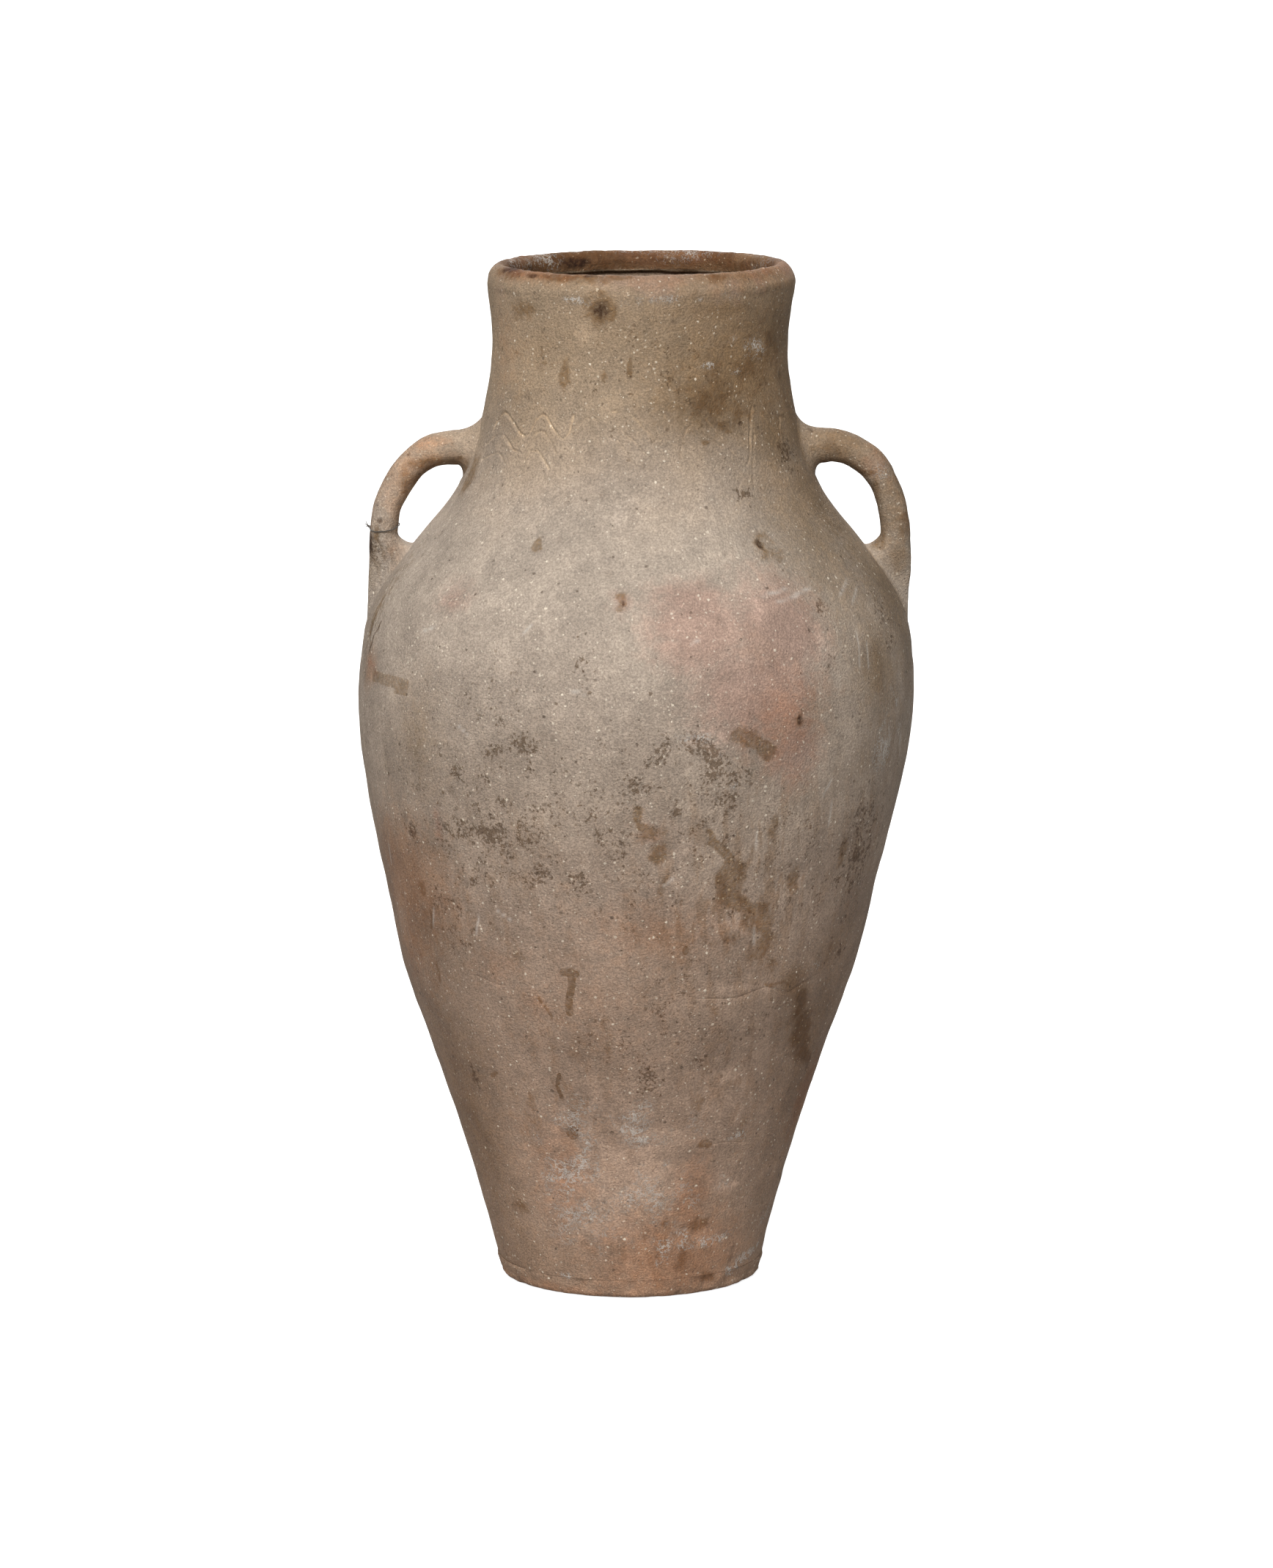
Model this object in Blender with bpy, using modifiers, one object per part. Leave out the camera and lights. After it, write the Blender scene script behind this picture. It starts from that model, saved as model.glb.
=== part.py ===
# Two-handled fired clay storage jar, modelled as the slab, thrown rings, rim coil, handles and luting
# clay that a potter joins to make it. Metres, +Z up, standing on z = 0 with its axis on Z. The handles
# are at -X (left) and +X (right).
import math

import bmesh
import bpy
from mathutils import Matrix, Vector

TURN_STEPS = 48           # facets round every turned piece
SLIP_GAP = 0.0004         # film of slip left between two pieces that are luted together
HEIGHT = 0.760
SLAB_THICKNESS = 0.014
FOOT_CORNER = 0.005       # worn round edge of the foot

# Outside of the jar, from the floor to just under the rim: height, radius.
OUTER_PROFILE = [
    (0.000, 0.0965),
    (0.060, 0.1115),
    (0.120, 0.1290),
    (0.180, 0.1490),
    (0.240, 0.1695),
    (0.300, 0.1830),
    (0.360, 0.1965),
    (0.420, 0.2055),
    (0.460, 0.2055),
    (0.500, 0.1990),
    (0.530, 0.1835),
    (0.560, 0.1605),
    (0.590, 0.1375),
    (0.620, 0.1240),
    (0.660, 0.1135),
    (0.700, 0.1090),
    (0.745, 0.1135),
]

# Thickness of the wall at a few heights: height, thickness.
WALL_THICKNESS = [(0.000, 0.0130), (0.120, 0.0120), (0.600, 0.0120), (0.640, 0.0105), (0.760, 0.0105)]

# Luted joints between the rings, and how far each bevelled joint face rises from outside to inside.
FOOT_JOIN = 0.124
WAIST_JOIN = 0.245
BELLY_JOIN = 0.455
NECK_JOIN = 0.600
RIM_JOIN = 0.7425
RING_BEVEL = 0.008
RIM_BEVEL = 0.001
RING_STATION = 0.030      # longest straight stretch of a ring's outline
CURVED_STATION = 0.018    # the same on the shoulder and neck, where the outline bends most

# Rolled rim: the crest, the widest point outside and the band inside that overhangs the neck.
RIM_CREST_RADIUS = 0.104
RIM_SIDE_HEIGHT = 0.745
RIM_BAND_TOP = 0.752
RIM_OVERHANG = 0.0045

# Coils of clay pressed over the joints inside.
COIL_HALF_WIDTH = 0.011
COIL_DEPTH = 0.0055
COIL_GAP = 0.0007
BASE_COIL_SIZE = 0.014

# Handles: the middle of the strap from inside the upper wad to inside the lower one, as distance from
# the axis and height.
LEFT_HANDLE_PATH = [
    (0.1180, 0.6265),
    (0.1420, 0.6235),
    (0.1610, 0.6135),
    (0.1750, 0.5980),
    (0.1835, 0.5790),
    (0.1878, 0.5580),
    (0.1850, 0.5340),
]
RIGHT_HANDLE_PATH = [
    (0.1180, 0.6270),
    (0.1420, 0.6245),
    (0.1640, 0.6165),
    (0.1805, 0.6005),
    (0.1890, 0.5800),
    (0.1915, 0.5580),
    (0.1870, 0.5330),
]
HANDLE_THICKNESS = 0.022
HANDLE_WIDTH = 0.028
HANDLE_SEAT_GAP = 0.0005  # between a handle or wad and what it is luted to

# Wads of soft clay under the handle ends: height on the wall, half sizes through, round and along it.
UPPER_WAD_HEIGHT = 0.6270
UPPER_WAD_SIZE = (0.0100, 0.0190, 0.0190)
LOWER_WAD_HEIGHT = 0.5270
LOWER_WAD_SIZE = (0.0145, 0.0190, 0.0300)

# String tied round the left handle.
THREAD_HEIGHT = 0.5630
THREAD_REACH = 0.1871     # distance of the handle's middle from the axis at that height
THREAD_RADIUS = 0.0004
THREAD_TILT = math.radians(8.0)

CLAY_COLOURS = {
    "base_slab": (0.300, 0.235, 0.165),
    "foot_wall": (0.400, 0.325, 0.245),
    "lower_wall": (0.420, 0.345, 0.265),
    "belly_wall": (0.465, 0.395, 0.310),
    "shoulder_wall": (0.500, 0.430, 0.345),
    "neck_collar": (0.500, 0.430, 0.345),
    "rim_lip": (0.440, 0.345, 0.250),
    "left_handle": (0.430, 0.325, 0.225),
    "right_handle": (0.420, 0.320, 0.220),
}
WAD_COLOUR = (0.410, 0.320, 0.230)
COIL_COLOUR = (0.380, 0.300, 0.220)
THREAD_COLOUR = (0.060, 0.050, 0.040)
CLAY_ROUGHNESS = 0.9


def outer_radius(height):
    """Radius of the outside at a height, on a smooth curve through OUTER_PROFILE."""
    last = len(OUTER_PROFILE) - 1
    slopes = []
    for index in range(last + 1):
        before = OUTER_PROFILE[max(index - 1, 0)]
        after = OUTER_PROFILE[min(index + 1, last)]
        slopes.append((after[1] - before[1]) / (after[0] - before[0]))
    index = 0
    while index < last - 1 and height > OUTER_PROFILE[index + 1][0]:
        index += 1
    low_height, low_radius = OUTER_PROFILE[index]
    high_height, high_radius = OUTER_PROFILE[index + 1]
    span = high_height - low_height
    t = (height - low_height) / span
    return (
        (2 * t**3 - 3 * t**2 + 1) * low_radius
        + (t**3 - 2 * t**2 + t) * span * slopes[index]
        + (3 * t**2 - 2 * t**3) * high_radius
        + (t**3 - t**2) * span * slopes[index + 1]
    )


def wall_thickness(height):
    """Thickness of the wall at a height."""
    for (low, thin), (high, thick) in zip(WALL_THICKNESS, WALL_THICKNESS[1:]):
        if height <= high:
            return thin + (thick - thin) * (height - low) / (high - low)
    return WALL_THICKNESS[-1][1]


def outward(height):
    """Unit vector out of the wall, as a radial and an upward part."""
    step = 0.001
    slope = (outer_radius(height + step) - outer_radius(height - step)) / (2 * step)
    length = math.hypot(1.0, slope)
    return 1.0 / length, -slope / length


def depth_point(height, depth):
    """Point that lies a depth inside the outer surface, as radius and height."""
    out, up = outward(height)
    return outer_radius(height) - depth * out, height - depth * up


def spread(low, high, longest):
    """Evenly spaced values from low to high, no further apart than longest."""
    count = max(2, math.ceil(abs(high - low) / longest) + 1)
    return [low + (high - low) * index / (count - 1) for index in range(count)]


def arc(centre, size, start, end, count):
    """Points on an ellipse's arc, angles in degrees."""
    points = []
    for index in range(count):
        angle = math.radians(start + (end - start) * index / (count - 1))
        points.append((centre[0] + size[0] * math.cos(angle), centre[1] + size[1] * math.sin(angle)))
    return points


def clay_material(name, colour, roughness):
    """Matt material in one colour."""
    material = bpy.data.materials.new(name)
    material.use_nodes = True
    shader = material.node_tree.nodes["Principled BSDF"]
    shader.inputs["Base Color"].default_value = (*colour, 1.0)
    shader.inputs["Roughness"].default_value = roughness
    shader.inputs["Metallic"].default_value = 0.0
    material.diffuse_color = (*colour, 1.0)
    return material


def soften(mesh):
    """Shade a mesh smooth, with its real edges kept sharp."""
    mesh.shade_smooth()
    mesh.set_sharp_from_angle(angle=math.radians(35.0))


def add_object(name, mesh, collection, colour):
    """Put a mesh in a collection as a named object with its own material."""
    item = bpy.data.objects.new(name, mesh)
    collection.objects.link(item)
    if colour is not None:
        mesh.materials.append(clay_material(name, colour, CLAY_ROUGHNESS))
    return item


def turned(name, outline, closed, collection, colour):
    """Turn an outline of radius and height points round the Z axis."""
    mesh = bpy.data.meshes.new(name)
    points = [(radius, 0.0, height) for radius, height in outline]
    edges = [(index, index + 1) for index in range(len(points) - 1)]
    if closed:
        edges.append((len(points) - 1, 0))
    mesh.from_pydata(points, edges, [])
    item = add_object(name, mesh, collection, colour)
    screw = item.modifiers.new("Turn", "SCREW")
    screw.axis = "Z"
    screw.angle = 2 * math.pi
    screw.steps = TURN_STEPS
    screw.render_steps = TURN_STEPS
    screw.use_merge_vertices = True
    screw.merge_threshold = 0.00005
    screw.use_smooth_shade = True
    return item


def base_slab(collection):
    """Round floor with a worn edge."""
    foot_radius = outer_radius(FOOT_CORNER)
    outline = [(0.0, SLAB_THICKNESS), (outer_radius(SLAB_THICKNESS), SLAB_THICKNESS)]
    corner_centre = (foot_radius - FOOT_CORNER, FOOT_CORNER)
    outline += arc(corner_centre, (FOOT_CORNER, FOOT_CORNER), 0.0, -90.0, 4)
    outline.append((0.0, 0.0))
    turned("base_slab", outline, False, collection, CLAY_COLOURS["base_slab"])


def ring(name, low, high, low_bevel, high_bevel, station, collection):
    """Ring of wall between two joints, each with a bevelled face that rises inwards."""
    half_gap = SLIP_GAP / 2
    outside = spread(high - high_bevel / 2 - half_gap, low - low_bevel / 2 + half_gap, station)
    inside = spread(low + low_bevel / 2 + half_gap, high + high_bevel / 2 - half_gap, station)
    outline = [(outer_radius(height), height) for height in outside]
    outline += [depth_point(height, wall_thickness(height)) for height in inside]
    turned(name, outline, True, collection, CLAY_COLOURS[name])
    return outline


def foot_ring(collection):
    """First ring, which stands flat on the slab."""
    bottom = SLAB_THICKNESS + SLIP_GAP
    top = FOOT_JOIN - SLIP_GAP / 2
    outside = spread(top - RING_BEVEL / 2, bottom, RING_STATION)
    inside = spread(bottom, top + RING_BEVEL / 2, RING_STATION)
    outline = [(outer_radius(height), height) for height in outside]
    outline += [(outer_radius(bottom) - wall_thickness(bottom), bottom)]
    outline += [depth_point(height, wall_thickness(height)) for height in inside[1:]]
    turned("foot_wall", outline, True, collection, CLAY_COLOURS["foot_wall"])


def rim_lip(neck_outline, collection):
    """Rolled rim that sits on the neck ring and overhangs it inside."""
    neck_edge_outside = neck_outline[0]
    neck_edge_inside = neck_outline[-1]
    side_radius = outer_radius(RIM_SIDE_HEIGHT)
    band_radius = neck_edge_inside[0] - RIM_OVERHANG
    crest_drop = HEIGHT - RIM_SIDE_HEIGHT
    outline = arc((RIM_CREST_RADIUS, RIM_SIDE_HEIGHT), (side_radius - RIM_CREST_RADIUS, crest_drop), 90.0, 0.0, 5)
    outline.append((neck_edge_outside[0], neck_edge_outside[1] + SLIP_GAP))
    outline.append((neck_edge_inside[0], neck_edge_inside[1] + SLIP_GAP))
    outline.append((band_radius, neck_edge_inside[1] + SLIP_GAP))
    band_size = (RIM_CREST_RADIUS - band_radius, HEIGHT - RIM_BAND_TOP)
    outline += arc((RIM_CREST_RADIUS, RIM_BAND_TOP), band_size, 180.0, 90.0, 4)[:-1]
    turned("rim_lip", outline, True, collection, CLAY_COLOURS["rim_lip"])


def joint_coil(name, height, collection):
    """Coil pressed flat over a joint inside the wall."""
    wall_side = []
    hollow_side = []
    for share in (1.0, 0.0, -1.0):
        level = height + share * COIL_HALF_WIDTH
        wall_side.append(depth_point(level, wall_thickness(level) + COIL_GAP))
    for share in (-0.6, 0.0, 0.6):
        level = height + share * COIL_HALF_WIDTH
        bulge = COIL_DEPTH * math.sqrt(1.0 - share**2)
        hollow_side.append(depth_point(level, wall_thickness(level) + COIL_GAP + bulge))
    turned(name, wall_side + hollow_side, True, collection, COIL_COLOUR)


def base_coil(collection):
    """Coil pressed into the corner between the slab and the first ring."""
    floor = SLAB_THICKNESS + COIL_GAP
    corner_radius = outer_radius(floor) - wall_thickness(floor) - COIL_GAP
    top = floor + BASE_COIL_SIZE
    top_radius = outer_radius(top) - wall_thickness(top) - 2 * COIL_GAP
    outline = [(top_radius, top), (corner_radius, floor), (corner_radius - BASE_COIL_SIZE, floor)]
    bow = BASE_COIL_SIZE * 0.62
    outline.append((corner_radius - bow, floor + bow))
    turned("base_coil", outline, True, collection, COIL_COLOUR)


def body_cutter(collection):
    """Solid that fills the jar's outside and the seat gap, to trim what is luted on."""
    levels = spread(RIM_JOIN, BELLY_JOIN, CURVED_STATION / 2)
    outline = [(0.0, RIM_JOIN)]
    outline += [(outer_radius(height) + HANDLE_SEAT_GAP, height) for height in levels]
    outline.append((0.0, BELLY_JOIN))
    cutter = turned("body_outside", outline, False, collection, None)
    hide(cutter)
    return cutter


def hide(cutter):
    """Show a cutter as wires only."""
    cutter.hide_render = True
    cutter.display_type = "WIRE"


def cut(item, cutter):
    """Take a cutter's volume away from an object."""
    boolean = item.modifiers.new("Seat on " + cutter.name, "BOOLEAN")
    boolean.operation = "DIFFERENCE"
    boolean.solver = "EXACT"
    boolean.object = cutter


def wad_matrix(side, height, size, margin):
    """Place of a wad on the wall: side is -1 for left and +1 for right."""
    out, up = outward(height)
    lean = math.atan2(up, out)
    place = Matrix.Translation(Vector((outer_radius(height), 0.0, height)))
    turn = Matrix.Rotation(-lean, 4, "Y")
    scale = Matrix.Diagonal((size[0] + margin, size[1] + margin, size[2] + margin, 1.0))
    mirror = Matrix.Diagonal((side, 1.0, 1.0, 1.0))
    return mirror @ place @ turn @ scale


def wad_mesh(name, side, height, size, margin):
    """Flattened ball of clay on the wall."""
    mesh = bpy.data.meshes.new(name)
    shape = bmesh.new()
    bmesh.ops.create_uvsphere(shape, u_segments=20, v_segments=12, radius=1.0)
    bmesh.ops.transform(shape, matrix=wad_matrix(side, height, size, margin), verts=shape.verts)
    if side < 0:
        bmesh.ops.reverse_faces(shape, faces=shape.faces)
    shape.to_mesh(mesh)
    shape.free()
    return mesh


def strap_mesh(name, side, path):
    """Closed oval strap along a path in the XZ plane."""
    curve = bpy.data.curves.new(name + "_path", "CURVE")
    curve.dimensions = "3D"
    curve.bevel_depth = HANDLE_THICKNESS / 2
    curve.bevel_resolution = 4
    curve.resolution_u = 4
    curve.use_fill_caps = True
    spline = curve.splines.new("BEZIER")
    spline.bezier_points.add(len(path) - 1)
    for point, (reach, height) in zip(spline.bezier_points, path):
        point.co = (side * reach, 0.0, height)
        point.handle_left_type = "AUTO"
        point.handle_right_type = "AUTO"
    holder = bpy.data.objects.new(name + "_path", curve)
    bpy.context.scene.collection.objects.link(holder)
    depsgraph = bpy.context.evaluated_depsgraph_get()
    mesh = bpy.data.meshes.new_from_object(holder.evaluated_get(depsgraph))
    mesh.name = name
    bpy.data.objects.remove(holder)
    bpy.data.curves.remove(curve)
    shape = bmesh.new()
    shape.from_mesh(mesh)
    bmesh.ops.remove_doubles(shape, verts=shape.verts, dist=0.00001)
    widen = Matrix.Diagonal((1.0, HANDLE_WIDTH / HANDLE_THICKNESS, 1.0, 1.0))
    bmesh.ops.transform(shape, matrix=widen, verts=shape.verts)
    bmesh.ops.recalc_face_normals(shape, faces=shape.faces)
    shape.to_mesh(mesh)
    shape.free()
    return mesh


def handle_set(side_name, side, path, outside, parts, cutters):
    """One handle and the two wads it is luted on with."""
    strap = strap_mesh(side_name + "_handle", side, path)
    handle = add_object(side_name + "_handle", strap, parts, CLAY_COLOURS[side_name + "_handle"])
    places = {"upper": (UPPER_WAD_HEIGHT, UPPER_WAD_SIZE), "lower": (LOWER_WAD_HEIGHT, LOWER_WAD_SIZE)}
    for end, (height, size) in places.items():
        name = side_name + "_" + end + "_wad"
        wad = add_object(name, wad_mesh(name, side, height, size, 0.0), parts, WAD_COLOUR)
        cut(wad, outside)
        seat_mesh = wad_mesh(name + "_seat", side, height, size, HANDLE_SEAT_GAP)
        seat = add_object(name + "_seat", seat_mesh, cutters, None)
        hide(seat)
        cut(handle, seat)
    soften(strap)


def tie_thread(collection):
    """String wound once round the left handle."""
    ring_radius = HANDLE_THICKNESS / 2 + SLIP_GAP + THREAD_RADIUS
    bpy.ops.mesh.primitive_torus_add(
        major_segments=32,
        minor_segments=6,
        major_radius=ring_radius,
        minor_radius=THREAD_RADIUS,
        location=(-THREAD_REACH, 0.0, THREAD_HEIGHT),
        rotation=(0.0, THREAD_TILT, 0.0),
    )
    thread = bpy.context.object
    thread.name = "handle_tie_thread"
    thread.data.name = "handle_tie_thread"
    thread.scale = (1.0, HANDLE_WIDTH / HANDLE_THICKNESS, 1.0)
    thread.data.materials.append(clay_material("handle_tie_thread", THREAD_COLOUR, 0.8))
    for holder in list(thread.users_collection):
        holder.objects.unlink(thread)
    collection.objects.link(thread)


def build():
    """Make the jar."""
    for item in list(bpy.data.objects):
        bpy.data.objects.remove(item)
    parts = bpy.data.collections.new("amphora")
    cutters = bpy.data.collections.new("amphora_cutters")
    bpy.context.scene.collection.children.link(parts)
    bpy.context.scene.collection.children.link(cutters)

    base_slab(parts)
    foot_ring(parts)
    ring("lower_wall", FOOT_JOIN, WAIST_JOIN, RING_BEVEL, RING_BEVEL, RING_STATION, parts)
    ring("belly_wall", WAIST_JOIN, BELLY_JOIN, RING_BEVEL, RING_BEVEL, RING_STATION, parts)
    ring("shoulder_wall", BELLY_JOIN, NECK_JOIN, RING_BEVEL, RING_BEVEL, CURVED_STATION, parts)
    neck = ring("neck_collar", NECK_JOIN, RIM_JOIN, RING_BEVEL, RIM_BEVEL, CURVED_STATION, parts)
    rim_lip(neck, parts)

    base_coil(parts)
    joint_coil("foot_coil", FOOT_JOIN, parts)
    joint_coil("waist_coil", WAIST_JOIN, parts)
    joint_coil("belly_coil", BELLY_JOIN, parts)
    joint_coil("neck_coil", NECK_JOIN, parts)

    outside = body_cutter(cutters)
    handle_set("left", -1.0, LEFT_HANDLE_PATH, outside, parts, cutters)
    handle_set("right", 1.0, RIGHT_HANDLE_PATH, outside, parts, cutters)
    tie_thread(parts)


build()
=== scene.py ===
import bpy
import math
import numpy as np
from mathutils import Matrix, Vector


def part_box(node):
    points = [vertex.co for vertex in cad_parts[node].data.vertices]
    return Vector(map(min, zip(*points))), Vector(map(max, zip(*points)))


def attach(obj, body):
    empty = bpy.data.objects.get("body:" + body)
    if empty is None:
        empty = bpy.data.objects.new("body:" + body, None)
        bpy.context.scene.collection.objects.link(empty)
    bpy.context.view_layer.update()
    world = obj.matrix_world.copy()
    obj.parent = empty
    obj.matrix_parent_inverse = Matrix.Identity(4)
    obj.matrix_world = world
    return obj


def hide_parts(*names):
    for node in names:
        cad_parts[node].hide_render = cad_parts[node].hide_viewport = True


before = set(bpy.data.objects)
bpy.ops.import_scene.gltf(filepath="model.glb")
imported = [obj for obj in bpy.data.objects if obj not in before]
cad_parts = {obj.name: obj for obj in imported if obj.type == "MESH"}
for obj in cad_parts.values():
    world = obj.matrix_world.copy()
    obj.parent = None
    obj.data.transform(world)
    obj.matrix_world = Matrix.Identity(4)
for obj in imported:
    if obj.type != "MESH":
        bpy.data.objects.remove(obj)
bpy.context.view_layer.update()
print("frame loaded with", len(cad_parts), "CAD nodes")

scene = bpy.context.scene


# camera, lamps and floor
cameraValues = {
    "place": (0.0, -4.695, 1.146),
    "tipDegrees": 80.62,  # 90 would be level
    "lens": 146.3,
    "sensor": 36.0,
}

lightValues = {
    "keyFrom": (-0.13, -0.70, 0.70),  # direction the soft key comes from
    "keyStrength": 4.7,
    "keySpread": 36.0,  # degrees, wider is softer
    "fillFrom": (-0.95, -0.30, 0.25),
    "fillStrength": 0.12,
    "fillSpread": 60.0,
    "backFrom": (0.0, 0.87, 0.50),  # lights the far side only
    "backStrength": 1.5,
    "backSpread": 24.0,
    "sky": 0.10,
    "skySeen": 1.1,
    "floorColor": (0.43, 0.42, 0.41),  # what the floor throws back at the jar
    "floorSeen": 0.88,  # how white the paper looks by itself, the rest comes from the lamps
    "floorSize": 60.0,
}


def makeCamera(values):
    data = bpy.data.cameras.new("camera")
    data.lens = values["lens"]
    data.sensor_width = values["sensor"]
    data.clip_end = 200
    camera = bpy.data.objects.new("camera", data)
    camera.location = values["place"]
    camera.rotation_euler = (math.radians(values["tipDegrees"]), 0, 0)
    scene.collection.objects.link(camera)
    scene.camera = camera


def makeSun(name, comesFrom, strength, spread):
    data = bpy.data.lights.new(name, "SUN")
    data.energy = strength
    data.angle = math.radians(spread)
    lamp = bpy.data.objects.new(name, data)
    lamp.rotation_euler = Vector(comesFrom).to_track_quat("Z", "Y").to_euler()
    lamp.location = Vector(comesFrom) * 3
    scene.collection.objects.link(lamp)


def makeStage(values):
    world = bpy.data.worlds.new("studio")
    world.use_nodes = True
    sky = world.node_tree.nodes["Background"]
    sky.inputs["Color"].default_value = (1, 1, 1, 1)
    rays = world.node_tree.nodes.new("ShaderNodeLightPath")
    pick = world.node_tree.nodes.new("ShaderNodeMapRange")  # white where the camera looks past the floor
    pick.inputs["To Min"].default_value = values["sky"]
    pick.inputs["To Max"].default_value = values["skySeen"]
    world.node_tree.links.new(rays.outputs["Is Camera Ray"], pick.inputs["Value"])
    world.node_tree.links.new(pick.outputs[0], sky.inputs["Strength"])
    scene.world = world
    makeSun("keyLight", values["keyFrom"], values["keyStrength"], values["keySpread"])
    makeSun("fillLight", values["fillFrom"], values["fillStrength"], values["fillSpread"])
    makeSun("backLight", values["backFrom"], values["backStrength"], values["backSpread"])
    half = values["floorSize"] / 2
    mesh = bpy.data.meshes.new("studioFloor")
    corners = [(-half, -half, -0.0004), (half, -half, -0.0004), (half, half, -0.0004), (-half, half, -0.0004)]
    mesh.from_pydata(corners, [], [(0, 1, 2, 3)])
    floor = bpy.data.objects.new("studioFloor", mesh)
    scene.collection.objects.link(floor)
    paper = bpy.data.materials.new("paperFloor")
    paper.use_nodes = True
    tree = paper.node_tree
    shader = tree.nodes["Principled BSDF"]
    shader.inputs["Base Color"].default_value = (*values["floorColor"], 1)
    shader.inputs["Roughness"].default_value = 0.95
    shader.inputs["Specular IOR Level"].default_value = 0.1
    glow = tree.nodes.new("ShaderNodeEmission")
    glow.inputs["Strength"].default_value = values["floorSeen"]
    both = tree.nodes.new("ShaderNodeAddShader")
    pick = tree.nodes.new("ShaderNodeMixShader")
    tree.links.new(shader.outputs[0], both.inputs[0])
    tree.links.new(glow.outputs[0], both.inputs[1])
    tree.links.new(tree.nodes.new("ShaderNodeLightPath").outputs["Is Camera Ray"], pick.inputs[0])
    tree.links.new(shader.outputs[0], pick.inputs[1])
    tree.links.new(both.outputs[0], pick.inputs[2])
    tree.links.new(pick.outputs[0], tree.nodes["Material Output"].inputs["Surface"])
    mesh.materials.append(paper)
    scene.view_settings.view_transform = "Standard"


makeCamera(cameraValues)
makeStage(lightValues)
print("camera, lights and floor made")


# small tools for shapes

def naturalSpline(xs, ys):
    # a smooth curve through the given points, as a function
    xs = np.asarray(xs, float)
    ys = np.asarray(ys, float)
    count = len(xs)
    step = np.diff(xs)
    matrix = np.eye(count)
    right = np.zeros(count)
    for i in range(1, count - 1):
        matrix[i, i - 1:i + 2] = step[i - 1], 2 * (step[i - 1] + step[i]), step[i]
        right[i] = 6 * ((ys[i + 1] - ys[i]) / step[i] - (ys[i] - ys[i - 1]) / step[i - 1])
    bend = np.linalg.solve(matrix, right)

    def curve(at):
        at = np.asarray(at, float)
        i = np.clip(np.searchsorted(xs, at) - 1, 0, count - 2)
        before = at - xs[i]
        after = xs[i + 1] - at
        value = (bend[i] * after ** 3 + bend[i + 1] * before ** 3) / (6 * step[i])
        value += (ys[i] / step[i] - bend[i] * step[i] / 6) * after
        value += (ys[i + 1] / step[i] - bend[i + 1] * step[i] / 6) * before
        return value
    return curve


def smoothStep(low, high, value):
    t = np.clip((value - low) / (high - low), 0, 1)
    return t * t * (3 - 2 * t)


def lumps(points, size, seed):
    # soft random lumps between -1 and 1, the same every run
    q = points / size
    cell = np.floor(q).astype(np.int64)
    part = q - cell
    part = part ** 3 * (part * (part * 6 - 15) + 10)
    total = np.zeros(points.shape[:-1])
    for dx in (0, 1):
        for dy in (0, 1):
            for dz in (0, 1):
                corner = [cell[..., k] + step for k, step in enumerate((dx, dy, dz))]
                mixed = corner[0] * 73856093 ^ corner[1] * 19349663 ^ corner[2] * 83492791  # scatters the cells
                mixed = (mixed + seed * 2654435) & 0x7FFFFFFF
                mixed = ((mixed ^ (mixed >> 13)) * 1274126177) & 0x7FFFFFFF
                mixed = ((mixed ^ (mixed >> 16)) * 668265263) & 0x7FFFFFFF
                chance = (mixed >> 7 & 0xFFFF) / 65535.0
                weight = np.where(dx, part[..., 0], 1 - part[..., 0])
                weight = weight * np.where(dy, part[..., 1], 1 - part[..., 1])
                weight = weight * np.where(dz, part[..., 2], 1 - part[..., 2])
                total += weight * chance
    return total * 2 - 1


def meshFromGrid(name, points, fields=None, closedRows=True, caps=(False, False)):
    # rows x columns of points, columns always closed round; fields are painted on as attributes
    rows, cols = points.shape[:2]
    verts = points.reshape(-1, 3)
    here = np.arange(rows * cols).reshape(rows, cols)
    right = np.roll(here, -1, axis=1)
    last = rows if closedRows else rows - 1
    above = np.roll(here, -1, axis=0)[:last]
    aboveRight = np.roll(right, -1, axis=0)[:last]
    quads = np.stack([here[:last], right[:last], aboveRight, above], -1).reshape(-1, 4)
    faces = quads.tolist()
    extra = []
    for end, row in zip(caps, (0, rows - 1)):
        if not end:
            continue
        centre = len(verts) + len(extra)
        extra.append(points[row].mean(0))
        ring = here[row].tolist()
        for j in range(cols):
            a, b = ring[j], ring[(j + 1) % cols]
            faces.append((centre, b, a) if row == 0 else (centre, a, b))
    if extra:
        verts = np.vstack([verts, extra])
    centred = verts - verts.mean(0)
    side = np.cross(centred[quads[:, 2]] - centred[quads[:, 0]], centred[quads[:, 3]] - centred[quads[:, 1]])
    if (side * centred[quads].mean(1)).sum() < 0:
        faces = [face[::-1] for face in faces]
    mesh = bpy.data.meshes.new(name)
    mesh.from_pydata(verts.tolist(), [], faces)
    for field, values in (fields or {}).items():
        flat = np.zeros(len(verts), np.float32)
        flat[:rows * cols] = np.asarray(values, np.float32).reshape(-1)
        mesh.attributes.new(field, "FLOAT", "POINT").data.foreach_set("value", flat)
    mesh.polygons.foreach_set("use_smooth", np.ones(len(mesh.polygons), bool))
    mesh.set_sharp_from_angle(angle=math.radians(52))
    mesh.validate()
    piece = bpy.data.objects.new(name, mesh)
    scene.collection.objects.link(piece)
    return piece


def finishPiece(piece, slotName, materials, *nodes):
    for material in materials:
        piece.data.materials.append(material)
    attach(piece, "root")
    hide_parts(*nodes)
    print("made", piece.name, len(piece.data.polygons), "faces")


# the turned shape, read from the CAD walls
wallNodes = ("foot_wall", "lower_wall", "belly_wall", "shoulder_wall", "neck_collar")


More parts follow.
